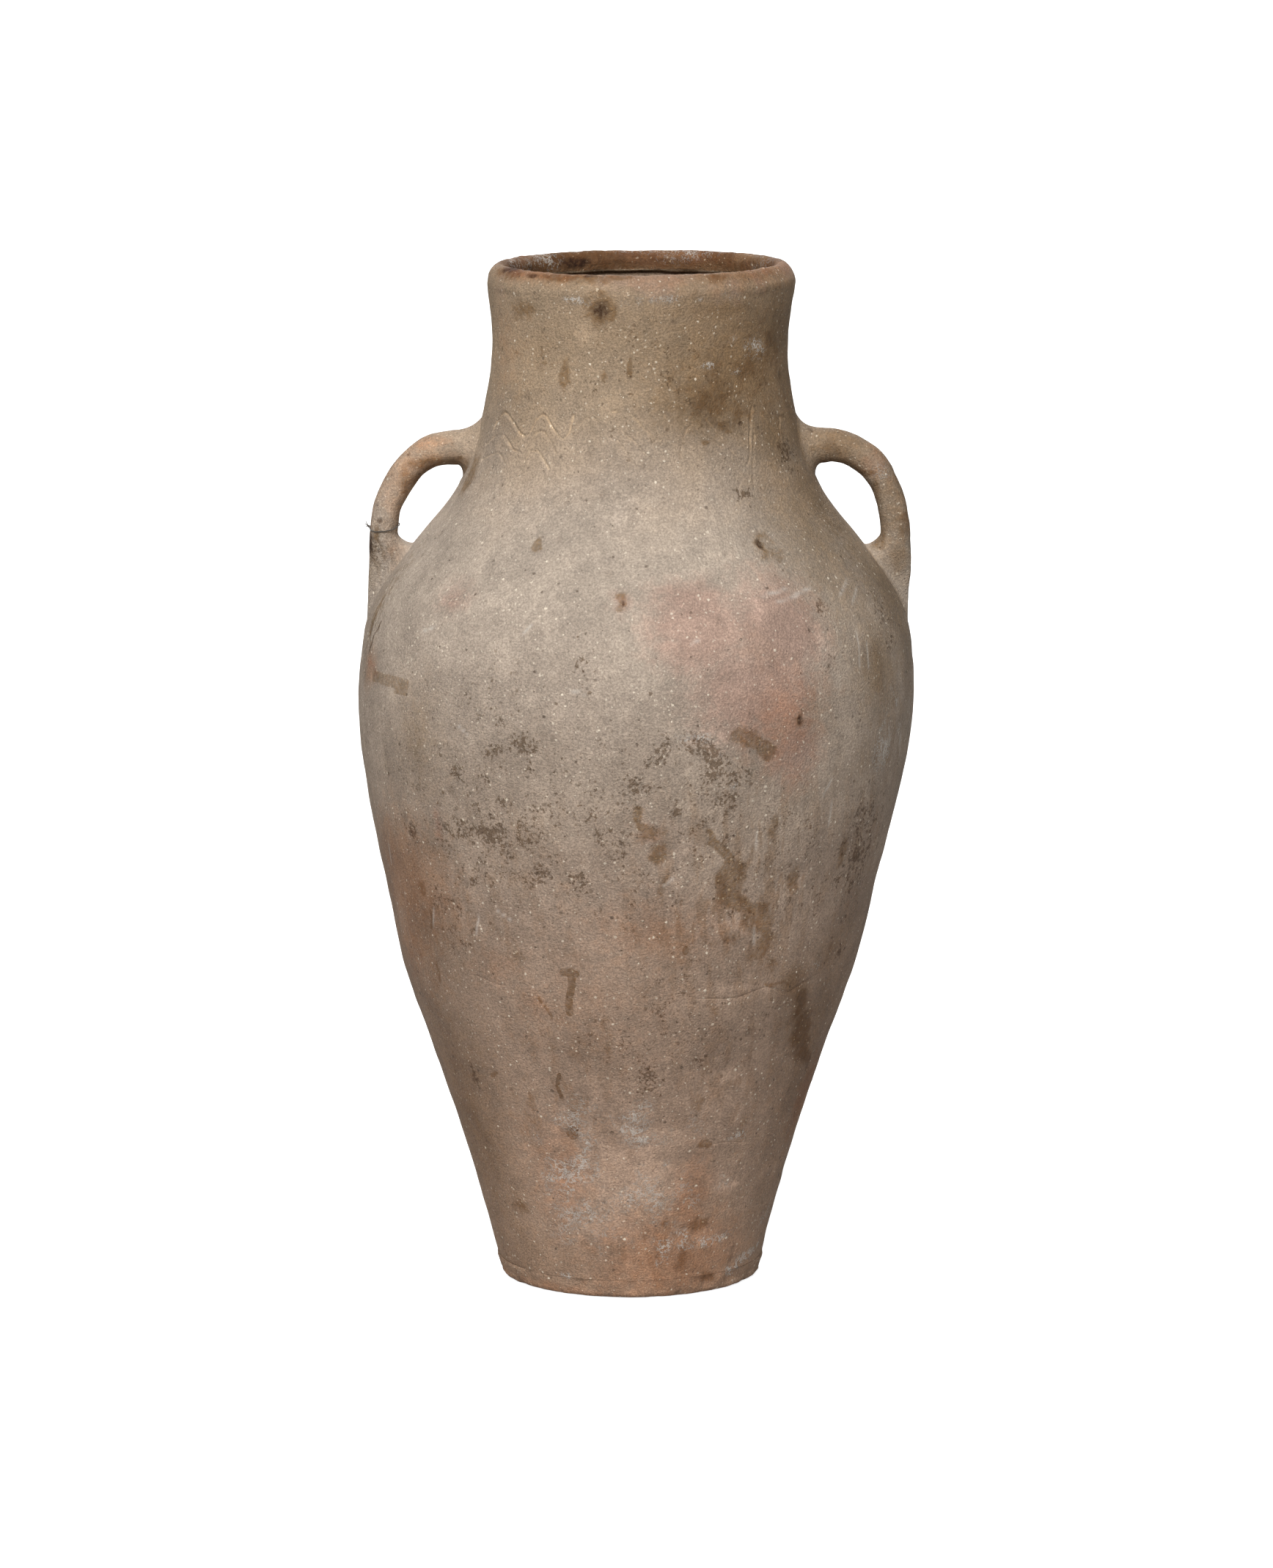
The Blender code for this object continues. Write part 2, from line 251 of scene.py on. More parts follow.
def wallRings(name, outside):
    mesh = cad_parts[name].data
    place = np.array([v.co[:] for v in mesh.vertices])
    facing = np.array([v.normal[:] for v in mesh.vertices])
    radius = np.hypot(place[:, 0], place[:, 1])
    radial = (place[:, 0] * facing[:, 0] + place[:, 1] * facing[:, 1]) / radius
    keep = radial > 0.7 if outside else radial < -0.7
    rings = {}
    for height, r in zip(place[keep, 2].round(4), radius[keep]):
        rings.setdefault(height, []).append(r)
    return sorted((h, float(np.median(r))) for h, r in rings.items() if len(r) >= 24)


def withoutJointFaces(rings):
    # the slanted joint faces give rings that stand far off the skin: drop the farthest until none is left
    rings = sorted(rings)
    while True:
        off = [0.0]
        for (z0, r0), (z1, r1), (z2, r2) in zip(rings, rings[1:], rings[2:]):
            off.append(abs(r1 - (r0 + (r2 - r0) * (z1 - z0) / max(z2 - z0, 1e-6))))
        worst = int(np.argmax(off))
        if off[worst] < 0.004:
            return rings
        del rings[worst]


bothSides = (True, False)  # outside, then inside
ringsOf = {name: [wallRings(name, outside) for outside in bothSides] for name in wallNodes}
cleanRings = [withoutJointFaces(ring for name in wallNodes for ring in ringsOf[name][side]) for side in (0, 1)]
wallSpans = {name: [[ring for ring in ringsOf[name][side] if ring in cleanRings[side]] for side in (0, 1)]
             for name in wallNodes}


def allRings(side):
    kept = cleanRings[side][:1]
    for ring in cleanRings[side][1:]:
        if ring[0] - kept[-1][0] > 0.004:  # the two edges at a joint count once
            kept.append(ring)
    return kept


outerRadius = naturalSpline(*zip(*allRings(0)))
innerRadius = naturalSpline(*zip(*allRings(1)))

stance = {
    "lean": [(0.0, -0.0048), (0.2, -0.0058), (0.4, -0.0015), (0.6, 0.0021), (0.76, 0.0032)],
    "mouthBack": 0.0008,  # the mouth stands higher at the back
    "mouthRight": 0.0005,
}
leanAt = naturalSpline(*zip(*stance["lean"]))


def unwrapped(azimuth, height, radius):
    return np.stack([radius * np.sin(azimuth), -radius * np.cos(azimuth), height], -1)


def skinPoint(azimuth, height, radius, push=0.0, slope=0.0):
    # azimuth 0 is the front and grows to the right; push moves along the skin's normal
    size = np.sqrt(1 + slope ** 2)
    reach = radius + push / size
    tilt = stance["mouthRight"] * np.sin(azimuth) - stance["mouthBack"] * np.cos(azimuth)
    z = height - push * slope / size + tilt * smoothStep(0.66, 0.76, height)
    return np.stack([leanAt(height) + reach * np.sin(azimuth), -reach * np.cos(azimuth), z], -1)


def roundSteps(front, back, frontSpan=156.0):
    # finer steps over the front, coarser behind
    half = math.radians(frontSpan / 2)
    a = np.linspace(-half, half, front, endpoint=False)
    b = np.linspace(half, 2 * math.pi - half, back, endpoint=False)
    return np.concatenate([a, b])


# marks on the skin by kind: degrees round from the front, height mm, half width mm, half height mm, strength
wallMarks = {
    "umberAndPaintedShade": [  # broad olive-brown wash, partly the clay's own staining and partly painted shade: the marks near the right edge, low on the left and on the right of the neck darken where the light falls off
        (45, 690, 66, 52, 1.0), (34, 733, 50, 13, 0.8), (74, 650, 40, 70, 0.9), (56, 640, 34, 40, 0.9),
        (60, 700, 44, 50, 0.9), (33, 682, 40, 28, 0.9), (-50, 660, 30, 40, 0.35), (-40, 705, 34, 22, 0.35),
        (27, 668, 40, 26, 1.0), (12, 722, 60, 18, 0.4), (78, 535, 50, 66, 1.0), (72, 590, 50, 44, 1.0),
        (57, 570, 50, 80, 0.8), (60, 475, 34, 40, 0.85), (46, 560, 20, 20, 0.5), (40, 452, 20, 34, 0.5),
        (56, 410, 16, 16, 0.5), (26, 500, 14, 14, 0.4), (57, 262, 20, 24, 0.6), (78, 575, 40, 50, 1.0),
        (-60, 130, 46, 110, 0.75), (-58, 280, 44, 80, 0.5), (-50, 430, 24, 40, 0.6),
        (-50, 345, 30, 24, 0.4), (-48, 200, 20, 30, 0.35), (62, 180, 30, 110, 0.6), (50, 222, 18, 26, 0.5),
        (-50, 40, 40, 50, 0.5), (-82, 505, 20, 40, 0.4),
        # behind
        (140, 250, 90, 120, 0.7), (-120, 500, 70, 80, 0.6), (180, 690, 80, 40, 0.5),
    ],
    "brown": [  # soaked stain
        (27, 668, 24, 17, 0.62), (38, 656, 10, 9, 0.6), (30, 674, 46, 30, 0.46), (56, 694, 34, 50, 0.44),
        (45, 690, 16, 9, 0.6), (-43, 697, 14, 12, 0.42), (31, 652, 9, 6, 0.7), (-29, 685, 5, 9, 0.85),
        (-39, 692, 3, 3, 0.8), (-4, 694, 3, 5, 0.8), (-15, 687, 3, 5, 0.6), (-50, 733, 12, 8, 0.6),
        (24, 640, 4, 2, 0.8), (-56, 699, 16, 3, 0.5), (-15, 736, 11, 10, 1.0), (-74, 606, 9, 12, 0.8),
        (36, 565, 8, 8, 0.7), (40, 557, 6, 7, 0.5), (-28, 566, 3, 5, 0.85), (-4, 531, 4, 4, 0.9),
        (35, 446, 6, 6, 0.7), (4, 366, 8, 6, 0.75), (5, 350, 7, 8, 0.85), (7, 325, 3, 12, 0.6),
        (31, 366, 4, 9, 0.75), (24, 282, 18, 7, 0.42), (38, 321, 6, 10, 0.7), (53, 342, 5, 11, 0.85),
        (-55, 311, 6, 6, 0.7), (26, 122, 4, 2.5, 1.0), (33, 274, 9, 10, 0.8), (37, 259, 6, 5, 0.6),
        (21, 230, 5, 12, 0.45), (-27, 270, 6, 5, 0.6), (-30, 150, 6, 26, 0.42), (22, 150, 6, 22, 0.4),
        (-6, 210, 5, 26, 0.4), (40, 120, 7, 30, 0.42), (28, 56, 9, 7, 0.7), (22, 30, 4, 11, 0.7),
        (36, 13, 7, 4, 0.8), (-46, 66, 8, 6, 0.7), (13, 60, 6, 6, 0.5), (-80, 545, 9, 22, 0.25),
        (-77, 500, 4, 24, 0.7),
        # behind
        (150, 560, 14, 10, 0.8), (-165, 250, 12, 26, 0.8), (-130, 420, 9, 18, 0.7), (120, 340, 8, 26, 0.8),
    ],
    "dark": [  # near-black spot
        (-15, 736, 6, 6, 0.9), (39, 650, 1.5, 1.5, 0.9), (35, 567, 3, 3, 0.85), (-4, 530, 1.5, 2, 0.8),
        (35, 446, 3.5, 3.5, 0.8), (53, 338, 2, 7, 0.5),
        # behind
        (172, 610, 4, 4, 0.9),
    ],
    "pale": [  # light dusty clay
        (-22, 714, 5, 9, 0.7), (38, 711, 5, 4, 0.8), (50, 705, 12, 8, 0.7), (-5, 590, 9, 9, 0.5),
        (27, 525, 6, 12, 0.5), (42, 498, 5, 16, 0.6), (53, 500, 7, 20, 0.6), (56, 545, 14, 20, 0.5),
        (48, 478, 6, 10, 0.4), (13, 435, 18, 9, 0.8), (5, 395, 20, 30, 0.3), (24, 296, 20, 10, 0.7),
        (38, 312, 14, 20, 0.5), (8, 345, 16, 20, 0.6), (-18, 318, 14, 30, 0.35), (-40, 110, 24, 40, 0.4),
        (30, 160, 30, 30, 0.35), (-6, 100, 44, 44, 0.85), (-8, 58, 26, 14, 0.9), (-2, 136, 20, 12, 0.6),
        (36, 90, 14, 10, 0.9), (62, 90, 14, 6, 0.6), (34, 43, 14, 6, 0.8), (55, 150, 12, 12, 0.5),
        (2, 70, 12, 14, 0.5), (-20, 150, 30, 14, 0.3),
        # behind
        (170, 95, 44, 30, 0.7), (-160, 520, 40, 30, 0.5),
    ],
    "lime": [  # white crust
        (50, 705, 11, 7, 0.7), (38, 710, 4, 3, 0.7), (27, 692, 6, 2, 0.7), (38, 686, 4, 2, 0.8),
        (-24, 742, 9, 2, 0.9), (0, 742, 9, 4, 0.9), (11, 743, 6, 3, 0.8), (23, 741, 5, 2, 0.8),
        (36, 746, 8, 4, 0.9), (13, 437, 13, 4, 0.9), (18, 429, 4, 8, 0.9), (21, 402, 9, 2.5, 0.9),
        (-37, 437, 7, 3, 0.5), (62, 420, 10, 16, 0.6), (-2, 130, 20, 14, 0.85), (14, 126, 9, 6, 0.9),
        (-11, 98, 26, 12, 0.95), (-16, 106, 14, 8, 0.8), (8, 92, 11, 9, 0.8), (2, 112, 8, 18, 0.7),
        (13, 108, 4, 9, 0.8), (-16, 76, 16, 12, 0.7), (-4, 100, 46, 42, 0.55), (-20, 92, 6, 12, 0.7),
        (36, 88, 10, 6, 0.6), (33, 42, 14, 4, 0.9), (12, 40, 6, 7, 0.8), (22, 46, 4, 4, 0.8),
        (12, 27, 5, 4, 0.8), (72, 50, 9, 5, 0.8), (36, 124, 10, 3, 0.8), (-27, 17, 4, 2, 0.9),
        (47, 252, 16, 3, 0.6),
        # behind
        (175, 90, 40, 26, 0.8), (-110, 40, 14, 6, 0.8), (125, 735, 18, 4, 0.8),
    ],
    "mildew": [  # dark growth in flecks
        (62, 624, 11, 12, 0.9), (36, 602, 9, 4, 1.0), (43, 482, 5, 6, 0.8), (67, 505, 10, 16, 0.7),
        (45, 522, 7, 4, 0.6), (5, 431, 7, 10, 0.9), (13, 431, 9, 11, 1.0), (16, 414, 14, 16, 1.0),
        (22, 404, 8, 10, 0.9), (20, 390, 11, 10, 0.9), (1, 406, 9, 10, 0.9), (9, 382, 5, 4, 0.8),
        (-29, 423, 9, 6, 1.0), (-23, 430, 11, 10, 0.95), (-28, 446, 4, 6, 0.9), (-33, 447, 4, 7, 0.8),
        (-31, 404, 6, 7, 0.8), (-39, 408, 4, 6, 0.8), (-28, 384, 7, 6, 0.8), (-33, 361, 31, 14, 1.0),
        (-42, 347, 14, 10, 0.8), (-33, 330, 30, 12, 0.7), (-56, 353, 9, 7, 0.9), (-20, 334, 8, 8, 0.8),
        (-11, 330, 9, 9, 0.7), (-18, 360, 12, 12, 0.6), (-21, 412, 10, 10, 0.6), (-11, 480, 6, 26, 0.5),
        (3, 330, 9, 12, 0.5), (-46, 305, 20, 8, 0.6), (-47, 283, 16, 4, 0.8), (60, 340, 22, 34, 0.8),
        (-12, 372, 130, 62, 0.36), (34, 330, 60, 50, 0.3), (-30, 460, 60, 30, 0.22), (-52, 166, 4, 6, 0.8),
        (6, 178, 14, 12, 0.6), (10, 220, 90, 50, 0.25), (0, 690, 90, 50, 0.22), (62, 258, 7, 6, 0.8),
        (-44, 270, 8, 12, 0.6),
        # behind
        (-140, 380, 26, 12, 0.8), (-128, 396, 12, 10, 0.7), (160, 330, 26, 18, 0.6),
        (-150, 360, 70, 40, 0.3), (110, 430, 24, 20, 0.9), (-100, 340, 22, 16, 0.8),
    ],
    "warm": [  # orange clay
        (-64, 700, 26, 40, 0.4), (31, 448, 24, 30, 0.7), (-73, 466, 14, 13, 1.0), (-62, 315, 50, 42, 1.0),
        (-66, 270, 40, 40, 0.7), (-10, 300, 50, 30, 0.3), (-25, 95, 22, 46, 0.6), (20, 30, 52, 36, 0.9),
        (-10, 240, 70, 60, 0.35), (6, 292, 50, 26, 0.6), (-34, 262, 24, 18, 0.5), (23, 75, 14, 34, 0.9),
        (74, 140, 16, 30, 1.0), (-24, 235, 16, 14, 0.6),
        # behind
        (-150, 330, 80, 90, 0.7),
    ],
    "blush": [  # pink clay
        (-4, 531, 8, 7, 0.6), (-46, 527, 16, 11, 0.55), (14, 512, 34, 26, 1.0), (31, 508, 36, 32, 1.0),
        (12, 530, 26, 12, 0.9), (26, 470, 44, 34, 1.0), (34, 425, 22, 26, 0.85), (4, 365, 14, 16, 0.4),
        (-46, 366, 5, 12, 0.6),
        # behind
        (168, 430, 70, 60, 0.9),
    ],
    "tape": [  # square patch left by tape
        (-64, 463, 24, 4.2, 0.8), (-56.2, 461, 7.5, 5.0, 1.0),
    ],
    "drip": [  # wide run marks
        (24, 320, 80, 90, 0.65), (-30, 320, 90, 110, 0.4), (62, 380, 60, 130, 0.45), (30, 180, 60, 60, 0.5),
        (-20, 160, 60, 80, 0.5), (10, 40, 60, 40, 0.5),
        # behind
        (180, 300, 160, 160, 0.8), (-120, 250, 80, 150, 0.7),
    ],
    "crisp": [  # stain with a hard edge
        (13, 277, 2, 3, 1.0), (-18, 132, 4, 4.5, 1.0),
    ],
    "streak": [  # fine drag marks
        (-76, 506, 14, 42, 1.0), (75, 408, 16, 60, 0.5), (-62, 400, 34, 90, 0.35), (62, 330, 30, 80, 0.4),
        (70, 560, 22, 40, 0.6), (-50, 280, 24, 40, 0.5), (45, 300, 30, 60, 0.35),
        # behind
        (110, 400, 40, 110, 0.7), (-120, 300, 50, 90, 0.6),
    ],
}

# runs and bands along a line, by kind: half width mm, strength, then degrees and height mm
wallTrails = {
    "brown": [
        (3.5, 0.8, [(16, 366), (19, 352), (22, 342)]),
        (7.0, 1.0, [(22, 338), (21, 324), (22, 316)]),
        (4.5, 0.9, [(23, 313), (27, 307)]),
        (8.0, 0.85, [(29, 302), (32, 292)]),
        (4.0, 0.9, [(33, 284), (34, 272)]),
        (3.0, 0.8, [(1, 386), (1, 374), (4, 364)]),
        (5.5, 0.75, [(50, 230), (52, 216)]),
        (9.0, 0.85, [(54, 206), (58, 188)]),
        (5.0, 0.7, [(60, 180), (66, 170)]),
        (1.2, 0.8, [(-22, 240), (-21, 230), (-20, 223)]),
        (1.6, 0.9, [(-54, 296), (-55, 282)]),
        (1.6, 0.8, [(-55, 250), (-56, 238)]),
        (1.4, 0.9, [(-44, 173), (-42, 176)]),
        (5.0, 0.9, [(21, 439), (24, 434), (28, 424)]),
        (1.4, 0.7, [(36, 246), (38, 243), (44, 242)]),
        (6.0, 0.9, [(150, 300), (154, 280), (153, 262), (158, 240)]),
        (5.0, 0.8, [(-170, 470), (-168, 450), (-172, 430)]),
    ],
    "umberAndPaintedShade": [
        (12.0, 0.9, [(44, 244), (48, 232), (51, 220), (53, 205), (57, 190), (62, 176)]),
    ],
    "crisp": [
        (2.4, 1.0, [(-14, 261), (-14, 250), (-15, 238), (-15, 229)]),
        (3.0, 0.8, [(-16, 260), (-13, 259)]),
        (1.3, 1.0, [(-20, 178), (-21, 168), (-20, 160)]),
    ],
    "lime": [
        (3.0, 1.0, [(48, 14), (54, 19), (60, 21), (66, 23), (71, 27)]),
        (2.0, 0.8, [(70, 424), (72, 414), (73, 404)]),
        (2.0, 0.7, [(64, 458), (66, 450), (68, 444)]),
    ],
    "dark": [
        (1.3, 0.8, [(-75, 478), (-72, 492), (-71, 500)]),
    ],
    "blush": [
        (3.0, 0.6, [(-75, 470), (-70, 468), (-68, 464)]),
    ],
    "pale": [
        (3.0, 0.6, [(22, 246), (30, 244), (40, 242)]),
    ],
}

# fine scratches: degrees, height mm, half length mm, tilt in degrees, depth mm
wallScratches = [
    (-37, 437, 7, -35, 0.3), (65, 421, 11, 110, 0.3), (73, 410, 12, 105, 0.3), (72, 414, 7, 80, 0.25),
    (53, 489, 16, 84, 0.25), (56, 484, 12, 88, 0.2), (-50, 505, 9, 20, 0.2), (-12, 470, 8, -15, 0.2),
    (44, 392, 9, 60, 0.25), (-70, 330, 12, 75, 0.2), (8, 330, 7, 40, 0.2), (-30, 300, 9, -30, 0.2),
    (-53, 290, 9, 70, 0.25), (-38, 290, 10, 75, 0.2), (30, 285, 9, 100, 0.2), (12, 505, 5, 20, 0.15),
    (33, 535, 14, 8, 0.2), (36, 530, 13, 6, 0.2), (41, 534, 12, 10, 0.15), (55, 532, 14, 25, 0.2),
    (58, 526, 12, 30, 0.2), (-24, 512, 6, 50, 0.15), (27, 358, 9, 95, 0.2), (46, 372, 12, 92, 0.2),
]

# incised strokes round the neck foot: strength, then degrees and height mm along the tool's path
zigzagLines = [
    (1.0, [(-66, 640), (-65, 645), (-62, 652), (-60, 655), (-57, 654), (-52, 648), (-48, 642), (-45, 640),
        (-43, 642), (-41, 652), (-38, 657), (-36, 655), (-33, 648), (-30, 642), (-28, 640), (-26, 645),
        (-25, 658)]),
    (0.8, [(-69, 630), (-64, 636), (-60, 639), (-57, 639), (-54, 636), (-50, 630), (-45, 628), (-41, 642),
        (-38, 645), (-36, 644), (-33, 638), (-30, 630)]),
    (0.8, [(-68, 619), (-62, 624), (-58, 626), (-55, 624), (-52, 619)]),
    (0.8, [(-43, 622), (-41, 630), (-38, 631), (-35, 626), (-32, 619)]),
    (0.5, [(-17, 656), (-12, 648), (-10, 642)]),
    (0.55, [(-23, 648), (-20, 656), (-17, 656)]),
    (0.65, [(-10, 661), (-4, 660), (-1, 655), (1, 650), (5, 643), (8, 640)]),
    (0.7, [(-5, 645), (-2, 640), (1, 633), (5, 626)]),
    (0.5, [(-8, 641), (-5, 633), (-1, 621)]),
    (0.6, [(14, 628), (15, 640), (17, 648), (19, 652), (22, 645), (26, 640), (30, 634)]),
    (0.7, [(23, 659), (26, 652), (30, 642)]),
    (0.7, [(33, 633), (37, 624), (39, 621)]),
    (0.4, [(20, 622), (24, 614), (28, 608)]),
    (0.75, [(46, 660), (44, 650), (43, 640), (41, 625), (39, 620)]),
    (0.6, [(45, 641), (43, 628), (41, 615), (40, 603)]),
    (0.7, [(48, 661), (52, 653), (56, 642), (60, 634)]),
    (0.5, [(50, 641), (55, 630)]),
    (0.5, [(51, 618), (57, 608)]),
    (0.6, [(60, 635), (61, 645), (63, 652), (66, 650)]),
    (0.8, [(100, 640), (106, 652), (112, 656), (124, 636), (131, 653), (137, 658), (150, 638), (157, 652),
        (163, 657), (177, 640), (184, 653), (190, 658), (204, 639), (211, 652), (217, 656), (230, 638),
        (237, 650), (243, 654), (255, 642)]),
    (0.7, [(104, 622), (112, 633), (118, 634), (131, 618), (139, 634), (146, 636), (160, 620), (168, 633),
        (174, 634), (189, 618), (203, 633), (218, 619), (233, 633), (250, 622)]),
]


# placed turns of the joint lines: degrees and mm above the joint
jointWaves = {
    "waist": [(-180, 2), (-110, -3), (-70, 1), (-40, 8), (-34, 4), (-10, -1), (17, -2), (28, -3), (36, 1),
              (44, -6), (55, 5), (90, 0), (140, 3), (180, 2)],
    "foot": [(-180, 0), (-90, 2), (-30, -1), (31, 1), (41, -2), (90, 0), (180, 0)],
    "belly": [(-180, 0), (-90, 1), (0, -1), (90, 1), (180, 0)],
    "neck": [(-180, 0), (-90, 0), (0, 0.5), (90, 0), (180, 0)],
    "rim": [(-180, 0), (180, 0)],
}
# where a joint still shows as a crack: centre and half width in degrees, depth in mm
jointCracks = {
    "waist": [(36, 21, 0.5), (-37, 6, 0.35), (128, 18, 0.6)],
    "foot": [(36, 8, 0.3), (-95, 12, 0.4)],
    "belly": [(150, 14, 0.5)],
    "neck": [],
    "rim": [(20, 10, 0.12), (-60, 14, 0.12), (160, 25, 0.3)],
}


def degreesFrom(azimuth, degrees=0.0):
    return (np.degrees(azimuth) - degrees + 180) % 360 - 180


def jointHeight(name, base, azimuth):
    height = base + np.interp(degreesFrom(azimuth), *zip(*jointWaves[name])) / 1000
    if name in ("waist", "foot"):
        height = height + 0.0008 * np.sin(azimuth * 9 + 1.3) + 0.0005 * np.sin(azimuth * 23 + 0.4)
    return height


def jointOpening(name, azimuth):
    depth = np.zeros_like(azimuth)
    for centre, half, mm in jointCracks[name]:
        away = np.abs(degreesFrom(azimuth, centre))
        depth = np.maximum(depth, mm / 1000 * (1 - smoothStep(half * 0.7, half, away)))
    return depth


def joinBase(lower, upper):
    return (wallSpans[lower][0][-1][0] + wallSpans[upper][0][0][0]) / 2


joints = {
    "foot": joinBase("foot_wall", "lower_wall"),
    "waist": joinBase("lower_wall", "belly_wall"),
    "belly": joinBase("belly_wall", "shoulder_wall"),
    "neck": joinBase("shoulder_wall", "neck_collar"),
    "rim": (wallSpans["neck_collar"][0][-1][0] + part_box("rim_lip")[0].z) / 2,
}

relief = {
    "broad": 0.0007,  # slow waver of the wall
    "ridges": 0.00026,  # turning ridges
    "dents": 0.00017,
    "grit": 0.00005,
    "pitCount": 620,
    "lineWidth": 0.0011,
    "lineDepth": 0.0015,
}


def makePits(seed, count):
    rng = np.random.default_rng(seed)
    turn = rng.uniform(-180, 180, count)
    height = rng.uniform(0.01, 0.74, count)
    size = rng.uniform(0.0008, 0.0022, count) * rng.choice([1, 1, 1, 1.7], count)
    depth = size * rng.uniform(0.15, 0.4, count) * rng.choice([1, 1, -0.5], count)
    return np.stack([np.radians(turn), height, size, depth], -1)


pits = makePits(11, relief["pitCount"])


def nearPath(azimuth, height, radius, turns):
    # distance in metres from each point to a path given in degrees and mm, and how far along it
    best = np.full(height.shape, 9.0)
    place = np.zeros(height.shape)
    done = 0.0
    for (a0, z0), (a1, z1) in zip(turns[:-1], turns[1:]):
        x = np.radians(degreesFrom(azimuth, (a0 + a1) / 2)) * radius
        dx, dy = math.radians(a1 - a0) * radius, (z1 - z0) / 1000
        y = height - z0 / 1000
        length = dx * dx + dy * dy
        t = np.clip(((x + dx / 2) * dx + y * dy) / length, 0, 1)
        distance = np.hypot(x + dx / 2 - dx * t, y - dy * t)
        nearer = distance < best
        best = np.where(nearer, distance, best)
        place = np.where(nearer, done + t * np.sqrt(length), place)
        done = done + float(np.median(np.sqrt(length)))
    return best, place


def lineField(azimuth, height, radius):
    # nearness to the incised strokes, 1 on a stroke and 0 a little way off, and its raised lip
    place = unwrapped(azimuth, height, radius)
    wobble = 0.0004 * lumps(place, 0.008, 5)
    skip = 0.72 + 0.28 * lumps(place, 0.011, 9)
    line = np.zeros_like(height)
    lip = np.zeros_like(height)
    for strength, turns in zigzagLines:
        away, along = nearPath(azimuth, height, radius, turns)
        away = np.abs(away + wobble)
        press = strength * skip
        line = np.maximum(line, press * np.exp(-(away / relief["lineWidth"]) ** 2))
        lip = np.maximum(lip, press * np.exp(-((away - 0.0021) / 0.0008) ** 2))
    return line, lip * (1 - np.clip(line * 1.4, 0, 1))


def markField(kind, azimuth, height, radius):
    # 1 in the middle of a mark, 0.5 at its edge, 0 at twice its size
    field = np.zeros_like(height)
    if kind not in ("crisp", "tape", "streak", "drip"):
        place = unwrapped(azimuth, height, radius)
        azimuth = azimuth + (0.0030 * lumps(place, 0.016, 91) + 0.0014 * lumps(place, 0.007, 92)) / radius
        height = height + 0.0030 * lumps(place, 0.016, 93) + 0.0014 * lumps(place, 0.007, 94)
    for degrees, mm, halfWide, halfHigh, strength in wallMarks[kind]:
        arc = np.radians(degreesFrom(azimuth, degrees)) * radius
        sideways, upward = arc / (halfWide / 1000), (height - mm / 1000) / (halfHigh / 1000)
        away = np.maximum(np.abs(sideways), np.abs(upward)) if kind == "tape" else np.hypot(sideways, upward)
        field = np.maximum(field, strength * np.clip(1 - away / 2, 0, 1))
    for halfWide, strength, turns in wallTrails.get(kind, []):
        away, _ = nearPath(azimuth, height, radius, turns)
        field = np.maximum(field, strength * np.clip(1 - away / (halfWide / 500), 0, 1))
    return field


def scratchField(azimuth, height, radius):
    field = np.zeros_like(height)
    depth = np.zeros_like(height)
    for degrees, mm, halfLong, tilt, mmDeep in wallScratches:
        arc = np.radians(degreesFrom(azimuth, degrees)) * radius
        c, s = math.cos(math.radians(tilt)), math.sin(math.radians(tilt))
        along = arc * c + (height - mm / 1000) * s
        across = -arc * s + (height - mm / 1000) * c
        ends = 1 - smoothStep(halfLong / 1000 * 0.6, halfLong / 1000, np.abs(along))
        here = ends * np.exp(-(across / 0.0009) ** 2)
        field = np.maximum(field, here)
        depth = np.maximum(depth, here * mmDeep / 1000)
    return field, depth


def skinFields(azimuth, height, radius):
    # every painted field and the relief of the outer skin
    place = unwrapped(azimuth, height, radius)
    fields = {kind: markField(kind, azimuth, height, radius) for kind in wallMarks}
    push = relief["broad"] * lumps(place, 0.11, 1) + 0.5 * relief["broad"] * lumps(place, 0.045, 2)
    flat = place * np.array([0.25, 0.25, 1.0])
    calm = 1 - 0.6 * smoothStep(0.60, 0.61, height) * (1 - smoothStep(0.665, 0.68, height))
    push += relief["ridges"] * lumps(flat, 0.010, 3) * calm
    push += relief["dents"] * lumps(place, 0.014, 4) * calm + relief["grit"] * lumps(place, 0.0045, 6)
    pitField = np.zeros_like(height)
    for turn, z, size, deep in pits:
        near = np.abs(height - z) < size * 3
        if not near.any():
            continue
        arc = ((azimuth[near] - turn + math.pi) % (2 * math.pi) - math.pi) * radius[near]
        away = np.hypot(arc, height[near] - z) / size
        dip = np.exp(-away ** 2)
        push[near] -= deep * dip
        pitField[near] = np.maximum(pitField[near], dip * (deep > 0))
    band = (height > 0.60) & (height < 0.675)
    line = np.zeros_like(height)
    if band.any():
        line[band], lip = lineField(azimuth[band], height[band], radius[band])
        cut = relief["lineDepth"] * line[band] * (0.8 + 0.2 * lumps(place[band], 0.006, 7))
        push[band] += 0.25 * relief["lineDepth"] * lip - cut
    scratch, deep = scratchField(azimuth, height, radius)
    push -= deep
    push += 0.00022 * fields["lime"] * lumps(place, 0.0035, 8)
    push -= 0.0007 * smoothStep(0.5, 0.9, fields["dark"])
    for name, base in joints.items():
        gap = np.abs(height - jointHeight(name, base, azimuth))
        push -= jointOpening(name, azimuth) * np.exp(-(gap / 0.0009) ** 2)
    fields["groove"] = line
    fields["pit"] = pitField
    fields["scratch"] = scratch
    return fields, push


# shader groups and the small tools that build them

def newGroup(name, inputs, outputs):
    group = bpy.data.node_groups.new(name, "ShaderNodeTree")
    for label, kind, value in inputs:
        socket = group.interface.new_socket(label, in_out="INPUT", socket_type=kind)
        if value is not None:
            socket.default_value = value
    for label, kind in outputs:
        group.interface.new_socket(label, in_out="OUTPUT", socket_type=kind)
    start = group.nodes.new("NodeGroupInput")
    end = group.nodes.new("NodeGroupOutput")
    return group, start, end


